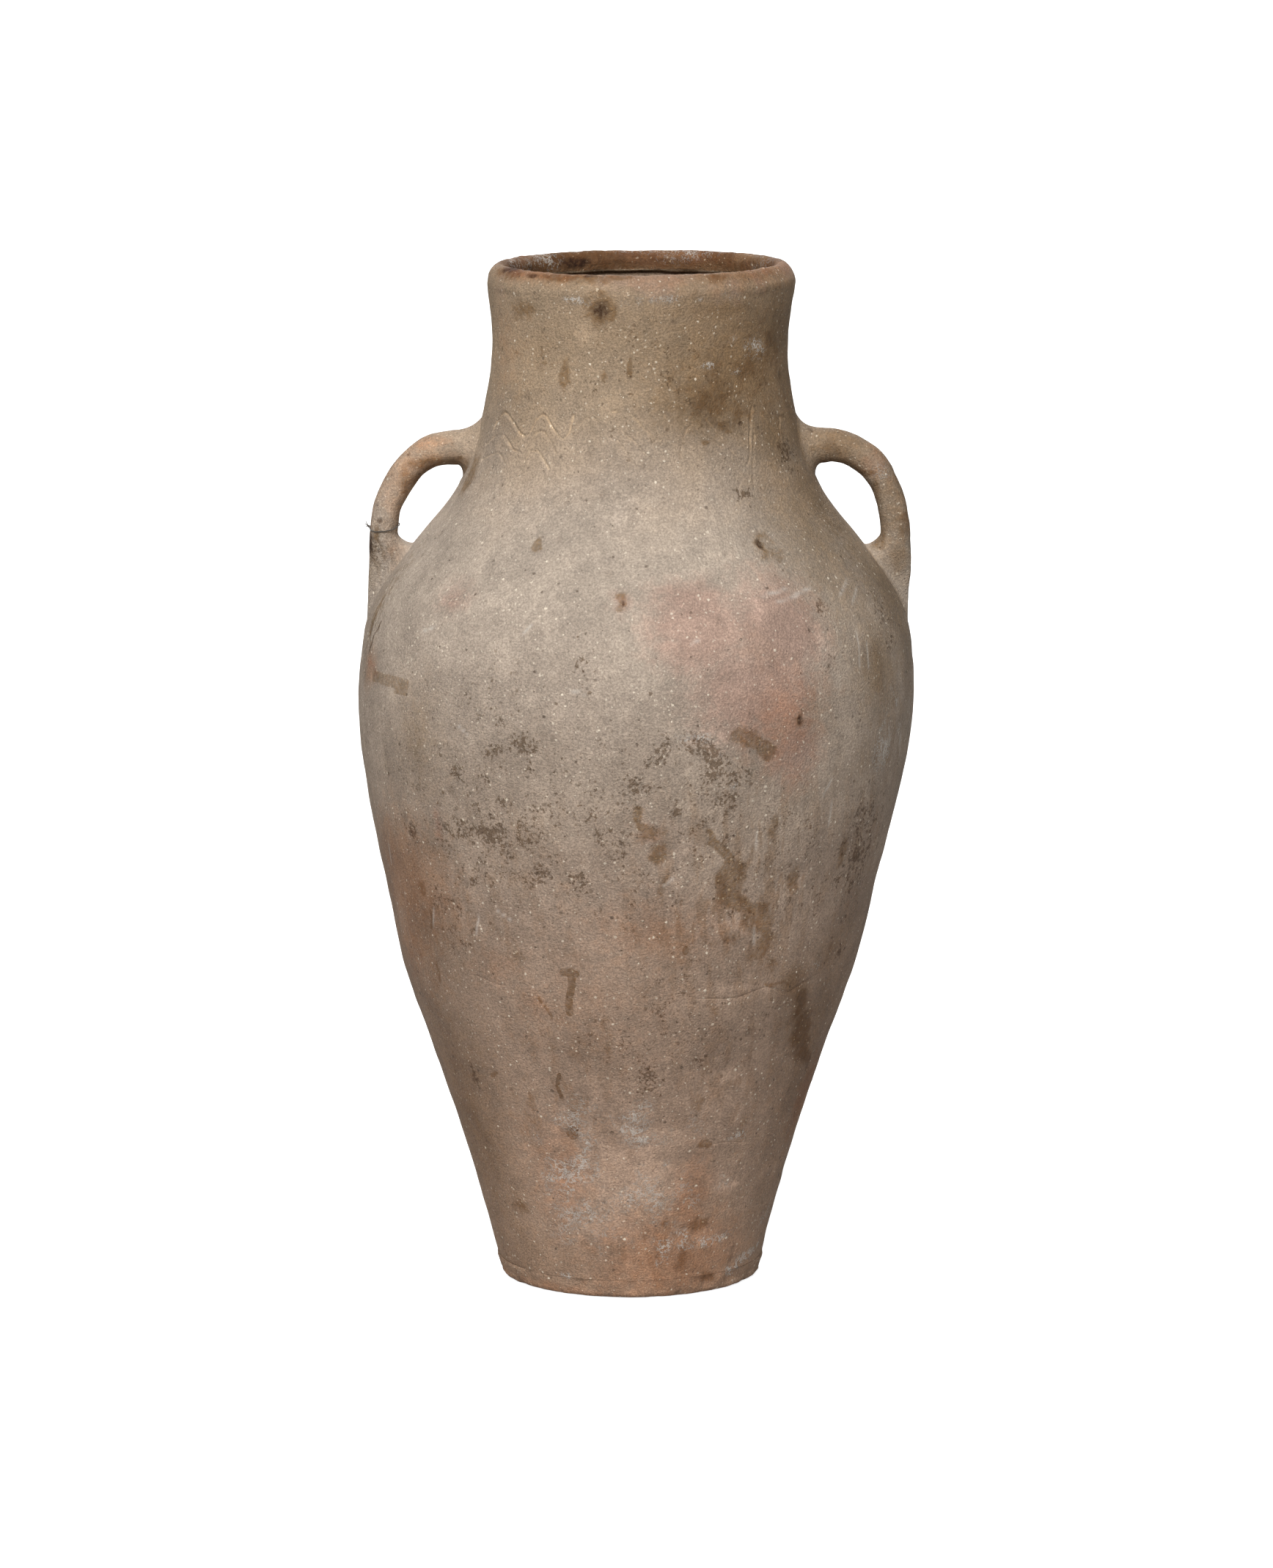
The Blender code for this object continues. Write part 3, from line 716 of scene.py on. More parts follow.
def link(tree, source, target):
    if isinstance(source, bpy.types.NodeSocket):
        tree.links.new(source, target)
    else:
        target.default_value = source


def mathNode(tree, operation, a, b=0.0, clamp=False):
    node = tree.nodes.new("ShaderNodeMath")
    node.operation = operation
    node.use_clamp = clamp
    link(tree, a, node.inputs[0])
    link(tree, b, node.inputs[1])
    return node.outputs[0]


def times(tree, a, b):
    return mathNode(tree, "MULTIPLY", a, b)


def plus(tree, a, b, clamp=False):
    return mathNode(tree, "ADD", a, b, clamp)


def minus(tree, a, b, clamp=False):
    return mathNode(tree, "SUBTRACT", a, b, clamp)


def vectorNode(tree, operation, a, b):
    node = tree.nodes.new("ShaderNodeVectorMath")
    node.operation = operation
    link(tree, a, node.inputs[0])
    link(tree, b, node.inputs[1])
    return node.outputs[0]


def noiseNode(tree, vector, size, detail=3.0, rough=0.55, warp=0.0):
    # size is the width of one blotch in metres
    node = tree.nodes.new("ShaderNodeTexNoise")
    link(tree, vector, node.inputs["Vector"])
    if isinstance(size, bpy.types.NodeSocket):
        link(tree, mathNode(tree, "DIVIDE", 1.0, size), node.inputs["Scale"])
    else:
        node.inputs["Scale"].default_value = 1 / size
    node.inputs["Detail"].default_value = detail
    node.inputs["Roughness"].default_value = rough
    node.inputs["Distortion"].default_value = warp
    return node


def rangeNode(tree, value, low, high, toLow=0.0, toHigh=1.0):
    node = tree.nodes.new("ShaderNodeMapRange")
    node.interpolation_type = "SMOOTHSTEP"
    sockets = ("Value", "From Min", "From Max", "To Min", "To Max")
    for socket, given in zip(sockets, (value, low, high, toLow, toHigh)):
        link(tree, given, node.inputs[socket])
    return node.outputs[0]


def mixNode(tree, amount, a, b, blend="MIX"):
    node = tree.nodes.new("ShaderNodeMix")
    node.data_type = "RGBA"
    node.blend_type = blend
    link(tree, amount, node.inputs[0])
    for socket, given in ((node.inputs[6], a), (node.inputs[7], b)):
        if isinstance(given, (tuple, list)):
            given = (*given[:3], 1)
        link(tree, given, socket)
    return node.outputs[2]


def makeMottle():
    # slow blotches, small blotches and fine grain of hand-built clay, each about 0 to 1
    group, start, end = newGroup("clayMottle", [
        ("Vector", "NodeSocketVector", None), ("Blotch Size", "NodeSocketFloat", 0.06),
        ("Grain Size", "NodeSocketFloat", 0.0016),
    ], [("Broad", "NodeSocketFloat"), ("Fine", "NodeSocketFloat"), ("Grain", "NodeSocketFloat")])
    place = start.outputs["Vector"]
    broad = noiseNode(group, place, start.outputs["Blotch Size"], 6, 0.62, 0.3).outputs[0]
    fine = noiseNode(group, place, 0.009, 6, 0.7, 0.3).outputs[0]
    grain = noiseNode(group, place, start.outputs["Grain Size"], 3, 0.75).outputs[0]
    link(group, rangeNode(group, broad, 0.28, 0.72), end.inputs["Broad"])
    link(group, rangeNode(group, fine, 0.28, 0.72), end.inputs["Fine"])
    link(group, rangeNode(group, grain, 0.28, 0.72), end.inputs["Grain"])
    return group


def makeSpecks():
    # scattered specks of mixed size; Amount is the share of cells that hold one
    group, start, end = newGroup("claySpecks", [
        ("Vector", "NodeSocketVector", None), ("Spacing", "NodeSocketFloat", 0.004),
        ("Size", "NodeSocketFloat", 0.3), ("Amount", "NodeSocketFloat", 0.4),
    ], [("Mask", "NodeSocketFloat")])
    wiggle = noiseNode(group, start.outputs["Vector"], 0.0016, 2, 0.6).outputs["Color"]
    wiggle = vectorNode(group, "SUBTRACT", wiggle, (0.5, 0.5, 0.5))
    wiggle = vectorNode(group, "MULTIPLY", wiggle, (0.0020, 0.0020, 0.0020))
    place = vectorNode(group, "ADD", start.outputs["Vector"], wiggle)
    cells = group.nodes.new("ShaderNodeTexVoronoi")
    link(group, place, cells.inputs["Vector"])
    link(group, mathNode(group, "DIVIDE", 1.0, start.outputs["Spacing"]), cells.inputs["Scale"])
    chance = group.nodes.new("ShaderNodeSeparateColor")
    link(group, cells.outputs["Color"], chance.inputs[0])
    reach = times(group, start.outputs["Size"], mathNode(group, "POWER", chance.outputs[1], 2.5))
    reach = plus(group, reach, times(group, start.outputs["Size"], 0.4))
    spot = rangeNode(group, cells.outputs["Distance"], reach, times(group, reach, 0.6))
    present = mathNode(group, "LESS_THAN", chance.outputs[0], start.outputs["Amount"])
    bright = plus(group, 0.45, times(group, chance.outputs[2], 0.55))
    link(group, times(group, times(group, spot, present), bright), end.inputs["Mask"])
    return group


def makeStreaks():
    # brush and drag marks: Along is their length up the pot, Across their width; Twist leans them over
    group, start, end = newGroup("brushStreaks", [
        ("Vector", "NodeSocketVector", None), ("Twist", "NodeSocketFloat", 0.0),
        ("Across", "NodeSocketFloat", 0.003), ("Along", "NodeSocketFloat", 0.05),
    ], [("Streak", "NodeSocketFloat")])
    parts = group.nodes.new("ShaderNodeSeparateXYZ")
    link(group, start.outputs["Vector"], parts.inputs[0])
    turned = group.nodes.new("ShaderNodeVectorRotate")
    turned.rotation_type = "Z_AXIS"
    link(group, start.outputs["Vector"], turned.inputs["Vector"])
    link(group, times(group, parts.outputs[2], start.outputs["Twist"]), turned.inputs["Angle"])
    squeeze = group.nodes.new("ShaderNodeCombineXYZ")
    across = mathNode(group, "DIVIDE", 1.0, start.outputs["Across"])
    link(group, across, squeeze.inputs[0])
    link(group, across, squeeze.inputs[1])
    link(group, mathNode(group, "DIVIDE", 1.0, start.outputs["Along"]), squeeze.inputs[2])
    place = vectorNode(group, "MULTIPLY", turned.outputs[0], squeeze.outputs[0])
    streak = noiseNode(group, place, 1.0, 4, 0.65).outputs[0]
    link(group, rangeNode(group, streak, 0.34, 0.68), end.inputs["Streak"])
    return group


def makeStain():
    # turns a soft painted field into a soaked-in stain: ragged, uneven inside, with a faint dried edge
    group, start, end = newGroup("soakedStain", [
        ("Vector", "NodeSocketVector", None), ("Field", "NodeSocketFloat", 0.0),
        ("Ragged", "NodeSocketFloat", 0.5), ("Edge Size", "NodeSocketFloat", 0.006), ("Soft", "NodeSocketFloat", 0.05),
    ], [("Mask", "NodeSocketFloat"), ("Tide", "NodeSocketFloat")])
    ragged = noiseNode(group, start.outputs["Vector"], start.outputs["Edge Size"], 7, 0.7, 0.2).outputs[0]
    shift = times(group, minus(group, ragged, 0.5), start.outputs["Ragged"])
    level = plus(group, start.outputs["Field"], times(group, shift, 2.4))
    low = minus(group, 0.40, start.outputs["Soft"])
    high = plus(group, 0.40, start.outputs["Soft"])
    mask = rangeNode(group, level, low, high)
    tide = minus(group, mask, rangeNode(group, level, high, plus(group, high, 0.10)), clamp=True)
    uneven = noiseNode(group, start.outputs["Vector"], 0.0032, 5, 0.75).outputs[0]
    uneven = rangeNode(group, uneven, 0.32, 0.62, 0.30, 1.0)
    held = rangeNode(group, start.outputs["Field"], 0.02, 0.16)  # nothing where the field is empty
    body = times(group, times(group, mask, held), uneven)
    link(group, body, end.inputs["Mask"])
    link(group, times(group, tide, held), end.inputs["Tide"])
    return group


def makeFlecks():
    # broken flecks that thicken where the painted field is strong: lime bloom, growth, crust
    group, start, end = newGroup("fleckPatch", [
        ("Vector", "NodeSocketVector", None), ("Field", "NodeSocketFloat", 0.0),
        ("Fleck Size", "NodeSocketFloat", 0.003), ("Cover", "NodeSocketFloat", 0.2),
        ("Vein", "NodeSocketFloat", 0.0),
    ], [("Mask", "NodeSocketFloat")])
    fleck = noiseNode(group, start.outputs["Vector"], start.outputs["Fleck Size"], 6, 0.72, 0.3).outputs[0]
    patchSize = times(group, start.outputs["Fleck Size"], 5.0)
    patch = noiseNode(group, start.outputs["Vector"], patchSize, 3, 0.6, 0.5).outputs[0]
    ridge = mathNode(group, "ABSOLUTE", minus(group, fleck, 0.5))
    ridge = minus(group, 0.66, times(group, ridge, 4.2))
    change = times(group, minus(group, ridge, fleck), start.outputs["Vein"])
    level = plus(group, fleck, change)
    level = plus(group, level, times(group, start.outputs["Field"], start.outputs["Cover"]))
    level = plus(group, level, times(group, minus(group, patch, 0.5), 0.55))
    held = rangeNode(group, start.outputs["Field"], 0.02, 0.2)
    link(group, times(group, rangeNode(group, level, 0.64, 0.72), held), end.inputs["Mask"])
    return group


groups = {
    "mottle": makeMottle(),
    "specks": makeSpecks(),
    "streaks": makeStreaks(),
    "stain": makeStain(),
    "flecks": makeFlecks(),
}
print("shader groups made")


def placeGroup(tree, key, **values):
    node = tree.nodes.new("ShaderNodeGroup")
    node.node_tree = groups[key]
    for label, given in values.items():
        link(tree, given, node.inputs[label.replace("_", " ")])
    return node


def fieldNode(tree, name):
    node = tree.nodes.new("ShaderNodeAttribute")
    node.attribute_name = name
    return node.outputs["Fac"]


# clay materials
# colour of the dry clay by height in mm, from the foot up
clayByHeight = [
    (0, (0.301, 0.197, 0.132)), (50, (0.314, 0.216, 0.153)), (150, (0.280, 0.193, 0.139)),
    (250, (0.278, 0.196, 0.141)), (300, (0.290, 0.212, 0.159)), (350, (0.307, 0.234, 0.178)),
    (400, (0.299, 0.235, 0.181)), (460, (0.323, 0.260, 0.206)), (520, (0.351, 0.288, 0.230)),
    (570, (0.350, 0.289, 0.231)), (610, (0.340, 0.267, 0.203)), (650, (0.297, 0.223, 0.154)),
    (700, (0.309, 0.224, 0.145)), (745, (0.306, 0.222, 0.144)), (752, (0.285, 0.198, 0.137)),
    (760, (0.280, 0.190, 0.132)),
]

clayValues = {
    "broadContrast": 0.10,
    "fineContrast": 0.085,
    "grainContrast": 0.22,
    "smearContrast": 0.05,
    "cream": (0.80, 0.70, 0.56),
    "creamAmount": 0.58,
    "pitColor": (0.075, 0.048, 0.032),
    "pitAmount": 0.36,
    "lime": (0.62, 0.58, 0.53),
    # washes and stains darken or tint the clay under them; the umber tint also darkens painted shade at the edges and
    # on the handles, and the groove tint lightens the incised strokes as a painted highlight
    "umberAndPaintedShadeTint": (0.60, 0.52, 0.41),
    "warmTint": (0.98, 0.80, 0.68),
    "blushTint": (0.99, 0.83, 0.81),
    "paleTint": (1.30, 1.30, 1.32),
    "brownTint": (0.60, 0.49, 0.35),
    "tideTint": (0.72, 0.64, 0.56),
    "growthTint": (0.42, 0.36, 0.30),
    "spotTint": (0.26, 0.19, 0.14),
    "streakTint": (0.62, 0.56, 0.48),
    # painted highlight: lightens the incised strokes where the light catches them
    "dripTint": (0.78, 0.70, 0.61),
    "grooveHighlightTint": (1.46, 1.42, 1.34),
    "wornTint": (1.02, 0.86, 0.76),
    "roughness": 0.86,
    "bump": 0.0012,
}


def clayMaterial(name, values, byHeight=None, plain=None):
    material = bpy.data.materials.new(name)
    material.use_nodes = True
    tree = material.node_tree
    shader = tree.nodes["Principled BSDF"]
    shader.inputs["Specular IOR Level"].default_value = 0.28
    coords = tree.nodes.new("ShaderNodeTexCoord").outputs["Object"]
    parts = tree.nodes.new("ShaderNodeSeparateXYZ")
    link(tree, coords, parts.inputs[0])
    mottle = placeGroup(tree, "mottle", Vector=coords)
    broad, fine, grain = (mottle.outputs[key] for key in ("Broad", "Fine", "Grain"))
    if byHeight:
        ramp = tree.nodes.new("ShaderNodeValToRGB")
        ramp.color_ramp.interpolation = "B_SPLINE"
        stops = ramp.color_ramp.elements
        while len(stops) < len(byHeight):
            stops.new(0.5)
        for stop, (mm, color) in zip(stops, byHeight):
            stop.position = mm / 760
            stop.color = (*color, 1)
        wander = times(tree, minus(tree, broad, 0.5), 0.05)
        level = plus(tree, mathNode(tree, "DIVIDE", parts.outputs[2], 0.76), wander)
        link(tree, level, ramp.inputs[0])
        color = ramp.outputs[0]
    else:
        color = mixNode(tree, broad, plain, tuple(c * 0.86 for c in plain))

    def tint(color, amount, factors):
        return mixNode(tree, amount, color, factors, "MULTIPLY")

    def wash(field, low, high, most, breakUp):
        # a soft painted field, its edge broken by the clay's own blotches
        shifted = plus(tree, fieldNode(tree, field), times(tree, minus(tree, fine, 0.5), breakUp))
        held = rangeNode(tree, fieldNode(tree, field), 0.01, 0.1)
        return times(tree, rangeNode(tree, shifted, low, high, 0.0, most), held)

    def streaks(twist, across, along):
        return placeGroup(tree, "streaks", Vector=coords, Twist=twist, Across=across, Along=along).outputs[0]

    def specks(vector, spacing, size, amount):
        return placeGroup(tree, "specks", Vector=vector, Spacing=spacing, Size=size, Amount=amount).outputs[0]

    def stainOf(field, ragged, edgeSize, soft):
        values = {"Field": fieldNode(tree, field), "Ragged": ragged, "Edge_Size": edgeSize, "Soft": soft}
        return placeGroup(tree, "stain", Vector=coords, **values).outputs

    def contrast(color, value, amount):
        factor = rangeNode(tree, value, 0.0, 1.0, 1 - amount, 1 + amount)
        return vectorNode(tree, "MULTIPLY", color, factor)

    # umber wash: partly olive-brown staining, partly painted shade that darkens the edges and the handles where the
    # light falls off
    color = tint(color, wash("umberAndPaintedShade", 0.05, 0.95, 1.0, 0.22), values["umberAndPaintedShadeTint"])
    color = tint(color, wash("warm", 0.10, 0.85, 1.0, 0.25), values["warmTint"])
    color = tint(color, wash("blush", 0.10, 0.75, 1.0, 0.25), values["blushTint"])
    color = tint(color, wash("pale", 0.15, 0.75, 1.0, 0.45), values["paleTint"])
    color = contrast(color, broad, values["broadContrast"])
    color = contrast(color, fine, values["fineContrast"])
    color = contrast(color, grain, values["grainContrast"])

    sweep = streaks(0.0, 0.05, 0.003)  # level wheel and brush marks
    color = contrast(color, sweep, 0.012)
    color = contrast(color, streaks(0.5, 0.013, 0.07), values["smearContrast"])  # slow hand smears
    drip = rangeNode(tree, streaks(0.4, 0.011, 0.075), 0.35, 0.85)
    color = tint(color, times(tree, drip, wash("drip", 0.1, 0.7, 1.0, 0.2)), values["dripTint"])
    drag = rangeNode(tree, streaks(1.6, 0.0034, 0.05), 0.4, 0.8)
    dragAmount = times(tree, rangeNode(tree, fieldNode(tree, "streak"), 0.1, 0.8), drag)
    color = tint(color, times(tree, dragAmount, 0.8), values["streakTint"])

    cream = specks(coords, 0.0060, 0.165, values["creamAmount"])
    small = specks(coords, 0.0032, 0.25, values["creamAmount"])
    speck = mathNode(tree, "MAXIMUM", times(tree, cream, 0.85), times(tree, small, 0.6))
    color = mixNode(tree, times(tree, speck, 0.9), color, values["cream"])
    shifted = vectorNode(tree, "ADD", coords, (0.31, 0.17, 0.23))
    holes = specks(shifted, 0.0062, 0.20, values["pitAmount"])
    dust = specks(shifted, 0.0030, 0.26, values["pitAmount"])
    hole = mathNode(tree, "MAXIMUM", times(tree, holes, 0.75), times(tree, dust, 0.42))
    hole = mathNode(tree, "MAXIMUM", hole, times(tree, fieldNode(tree, "pit"), 0.3))
    color = mixNode(tree, hole, color, values["pitColor"])

    mildew, lime = fieldNode(tree, "mildew"), fieldNode(tree, "lime")
    growth = placeGroup(tree, "flecks", Vector=coords, Field=mildew, Fleck_Size=0.0027, Cover=0.235)
    color = tint(color, times(tree, growth.outputs[0], 0.92), values["growthTint"])
    crumbs = specks(shifted, 0.0040, 0.40, times(tree, rangeNode(tree, mildew, 0.0, 0.6), 0.55))
    color = tint(color, times(tree, crumbs, 0.8), values["growthTint"])
    stain = stainOf("brown", 0.52, 0.010, 0.17)
    color = tint(color, stain["Mask"], values["brownTint"])
    color = tint(color, times(tree, stain["Tide"], 0.12), values["tideTint"])
    crisp = stainOf("crisp", 0.12, 0.004, 0.04)
    color = tint(color, crisp["Mask"], tuple(v * 0.85 for v in values["brownTint"]))
    tape = stainOf("tape", 0.16, 0.005, 0.06)
    color = tint(color, times(tree, tape["Mask"], 0.8), values["brownTint"])
    crust = placeGroup(tree, "flecks", Vector=shifted, Field=lime, Fleck_Size=0.0060, Cover=0.17, Vein=0.85)
    color = mixNode(tree, times(tree, crust.outputs[0], 0.64), color, values["lime"])
    # incised strokes painted lighter: a painted highlight where the light catches them
    groove = rangeNode(tree, fieldNode(tree, "groove"), 0.2, 0.8)
    groove = times(tree, groove, rangeNode(tree, fine, 0.1, 0.6, 0.4, 1.0))
    color = tint(color, groove, values["grooveHighlightTint"])
    color = mixNode(tree, times(tree, fieldNode(tree, "scratch"), 0.35), color, values["lime"])
    worn = stainOf("worn", 0.4, 0.010, 0.2)
    color = tint(color, worn["Mask"], values["wornTint"])
    spot = stainOf("dark", 0.30, 0.005, 0.16)
    color = tint(color, spot["Mask"], values["spotTint"])
    link(tree, color, shader.inputs["Base Color"])

    rough = rangeNode(tree, fine, 0.0, 1.0, values["roughness"] - 0.07, values["roughness"] + 0.07)
    rough = minus(tree, rough, times(tree, stain["Mask"], 0.10))
    rough = plus(tree, rough, times(tree, crust.outputs[0], 0.08), clamp=True)
    link(tree, rough, shader.inputs["Roughness"])

    height = times(tree, grain, 0.46)
    for value, share in ((fine, 0.20), (sweep, 0.05), (dragAmount, -0.15), (speck, 0.20),
                         (holes, -0.45), (dust, -0.15), (crust.outputs[0], 0.22), (growth.outputs[0], -0.08)):
        height = plus(tree, height, times(tree, value, share))
    bump = tree.nodes.new("ShaderNodeBump")
    bump.inputs["Strength"].default_value = 0.8
    bump.inputs["Distance"].default_value = values["bump"]
    link(tree, height, bump.inputs["Height"])
    link(tree, bump.outputs[0], shader.inputs["Normal"])
    return material


clays = {
    "foot": clayMaterial("footClay", clayValues, clayByHeight),
    "body": clayMaterial("bodyClay", clayValues, clayByHeight),
    "rim": clayMaterial("rimClay", {**clayValues, "roughness": 0.84}, clayByHeight),
    "handle": clayMaterial("handleClay", clayValues, clayByHeight),
    "inside": clayMaterial("insideClay", {**clayValues, "creamAmount": 0.25}, plain=(0.30, 0.21, 0.145)),
}
print("clay materials made")


# body walls
wallValues = {
    "foot_wall": {"front": 340, "back": 160, "rowStep": 0.0026, "innerRows": 12, "clay": "foot"},
    "lower_wall": {"front": 400, "back": 180, "rowStep": 0.0026, "innerRows": 10, "clay": "body"},
    "belly_wall": {"front": 440, "back": 200, "rowStep": 0.0026, "innerRows": 16, "clay": "body"},
    "shoulder_wall": {"front": 440, "back": 200, "rowStep": 0.0024, "innerRows": 14, "clay": "body"},
    "neck_collar": {"front": 490, "back": 200, "rowStep": 0.0026, "innerRows": 16, "clay": "body"},
}
wallJoints = {
    "foot_wall": (None, "foot"),
    "lower_wall": ("foot", "waist"),
    "belly_wall": ("waist", "belly"),
    "shoulder_wall": ("belly", "neck"),
    "neck_collar": ("neck", "rim"),
}


def radiusSlope(curve, height):
    return (curve(height + 0.0005) - curve(height - 0.0005)) / 0.001


def rowFractions(low, high, step, fineBand=None):
    # even steps along the wall, finer inside fineBand
    heights = [low]
    while heights[-1] < high:
        z = heights[-1]
        slope = float(radiusSlope(outerRadius, min(z, 0.74)))
        here = step / math.sqrt(1 + slope * slope)
        if fineBand and fineBand[0] < z < fineBand[1]:
            here = fineBand[2]
        if min(z - low, high - z) < 0.003:
            here = min(here, 0.0008)
        heights.append(z + here)
    heights = np.array(heights)
    return (heights - low) / (heights[-1] - low)


def makeWall(name):
    values = wallValues[name]
    azimuth = roundSteps(values["front"], values["back"])
    lowName, highName = wallJoints[name]
    outer, inner = wallSpans[name]
    if lowName:
        low = jointHeight(lowName, joints[lowName], azimuth)
    else:
        low = np.full_like(azimuth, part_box("base_slab")[1].z + 0.0002)
    high = jointHeight(highName, joints[highName], azimuth)
    fine = (0.604, 0.668, 0.00085) if name == "neck_collar" else None
    t = rowFractions(float(low.mean()), float(high.mean()), values["rowStep"], fine)[:, None]
    height = low + (high - low) * t
    turn = np.broadcast_to(azimuth, height.shape)
    radius = outerRadius(height)
    slope = radiusSlope(outerRadius, height)
    fields, push = skinFields(turn, height, radius)
    outside = skinPoint(turn, height, radius, push, slope)

    lowIn = low + inner[0][0] - outer[0][0]
    highIn = high + inner[-1][0] - outer[-1][0]
    s = np.linspace(1, 0, values["innerRows"])[:, None]
    heightIn = lowIn + (highIn - lowIn) * s
    turnIn = np.broadcast_to(azimuth, heightIn.shape)
    radiusIn = innerRadius(heightIn)
    placeIn = unwrapped(turnIn, heightIn, radiusIn)
    flat = placeIn * np.array([0.2, 0.2, 1.0])
    dents = 0.0007 * lumps(flat, 0.013, 21) + 0.0004 * lumps(placeIn, 0.03, 22)
    inside = skinPoint(turnIn, heightIn, radiusIn + dents)

    points = np.concatenate([outside, inside])
    empty = np.zeros_like(heightIn)
    painted = {key: np.concatenate([value, empty]) for key, value in fields.items()}
    painted["worn"] = np.concatenate([wornWall(turn, height), empty])
    piece = meshFromGrid(name + "_clay", points, painted)
    finishPiece(piece, values["clay"] + "_clay", [clays[values["clay"]], clays["inside"]], name)
    rows = len(outside)
    index = np.zeros(len(piece.data.polygons), np.int32)
    index[rows * len(azimuth):] = 1
    piece.data.polygons.foreach_set("material_index", index)


def wornWall(azimuth, height):
    # rubbed orange line at the very foot
    place = unwrapped(azimuth, height, 0.1)
    edge = 1 - smoothStep(0.003, 0.016, height)
    return edge * np.clip(0.30 + 0.5 * lumps(place, 0.03, 31), 0, 1)


for wallName in wallNodes:
    makeWall(wallName)


# base slab
slabValues = {"steps": 360, "cornerWear": 0.0009, "under": 0.0002}


def makeSlab(values):
    azimuth = np.linspace(0, 2 * math.pi, values["steps"], endpoint=False)
    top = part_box("base_slab")[1].z
    edge = float(outerRadius(top))
    section = [(0.0002, 0.001), (0.0002, 0.03), (0.0001, 0.055), (0.0, 0.075), (0.0, 0.086), (0.0, 0.0915)]
    for k in range(1, 9):  # rounded lower corner
        angle = math.radians(90 * k / 8)
        section.append((0.005 * (1 - math.cos(angle)), edge - 0.0074 + 0.0052 * math.sin(angle)))
    section += [(0.0075, edge - 0.0017), (0.010, edge - 0.0010), (0.0125, edge - 0.0004), (top, edge)]
    section += [(top, edge - 0.006), (top, edge - 0.014), (top, 0.06), (top, 0.03), (top, 0.001)]
    heights, radii = (np.array(v)[:, None] for v in zip(*section))
    height = np.broadcast_to(heights, (len(section), len(azimuth)))
    radius = np.broadcast_to(radii, height.shape).copy()
    turn = np.broadcast_to(azimuth, height.shape)
    place = unwrapped(turn, height, radius)
    rim = smoothStep(edge - 0.012, edge - 0.003, radius) * (height < top - 0.001)
    radius += rim * (values["cornerWear"] * lumps(place, 0.009, 41) + 0.0005 * lumps(place, 0.003, 42))
    radius += 0.0006 * lumps(place, 0.05, 43) * rim
    under = (1 - rim) * (radius < edge - 0.01) * (height < 0.005)
    lift = under * values["under"] * np.abs(lumps(place, 0.006, 44))
    points = skinPoint(turn, height + lift, radius)
    fields, _ = skinFields(turn, np.maximum(height, 0.0), radius)
    fields["worn"] = wornWall(turn, height)
    piece = meshFromGrid("base_slab_clay", points, fields, closedRows=False, caps=(True, True))
    finishPiece(piece, "foot_clay", [clays["foot"]], "base_slab")


makeSlab(slabValues)


# rim lip
rimValues = {
    "front": 460,
    "back": 360,
    # section of the lip, over the crest from outside to inside: mm below the crest, radius mm
    "section": [(17.6, 113.2), (14.5, 113.7), (11.0, 113.5), (8.0, 112.6), (5.0, 111.0), (2.4, 108.9),
                (0.7, 106.6), (0.0, 104.2), (0.5, 102.0), (1.8, 100.2), (3.8, 99.0), (6.5, 98.4), (10.0, 98.2), (13.6, 98.4)],
    "crestWear": 0.0007,
}
# degrees, place round the section (0 outer foot, 0.5 crest, 1 ledge), half degrees, half share, strength
rimMarks = {
    "worn": [
        (-44, 0.5, 24, 0.12, 0.9), (60, 0.46, 36, 0.16, 0.5), (170, 0.48, 60, 0.12, 0.7),
    ],
    "umberAndPaintedShade": [
        (-40, 0.45, 30, 0.16, 0.5), (40, 0.4, 40, 0.2, 0.5), (180, 0.8, 90, 0.3, 1.0),
    ],
    "dark": [
        (-46, 0.42, 3, 0.06, 0.8), (-20, 0.5, 3, 0.05, 0.7), (-64, 0.5, 6, 0.1, 0.8),
        (-150, 0.86, 8, 0.12, 0.7),
    ],
    "brown": [
        (-34, 0.44, 6, 0.1, 0.9), (-8, 0.48, 8, 0.08, 0.7), (-20, 0.45, 9, 0.12, 0.7),
        (-64, 0.48, 10, 0.16, 0.8), (30, 0.42, 5, 0.12, 0.6), (180, 0.92, 90, 0.12, 0.9),
        (-170, 0.74, 22, 0.12, 0.6), (-152, 0.78, 13, 0.24, 1.0), (145, 0.75, 8, 0.22, 1.0),
        (-172, 0.9, 14, 0.1, 0.9), (-100, 0.7, 16, 0.3, 0.7), (100, 0.7, 14, 0.3, 0.7),
    ],
    "warm": [
        (50, 0.45, 50, 0.3, 0.7), (-50, 0.45, 30, 0.2, 0.7), (180, 0.75, 90, 0.26, 1.0),
    ],
    "lime": [
        (-134, 0.72, 6, 0.2, 1.0), (159, 0.68, 9, 0.2, 1.0), (178, 0.62, 14, 0.08, 0.6),
        (-110, 0.75, 10, 0.2, 0.7), (112, 0.7, 9, 0.2, 0.8),
    ],
}


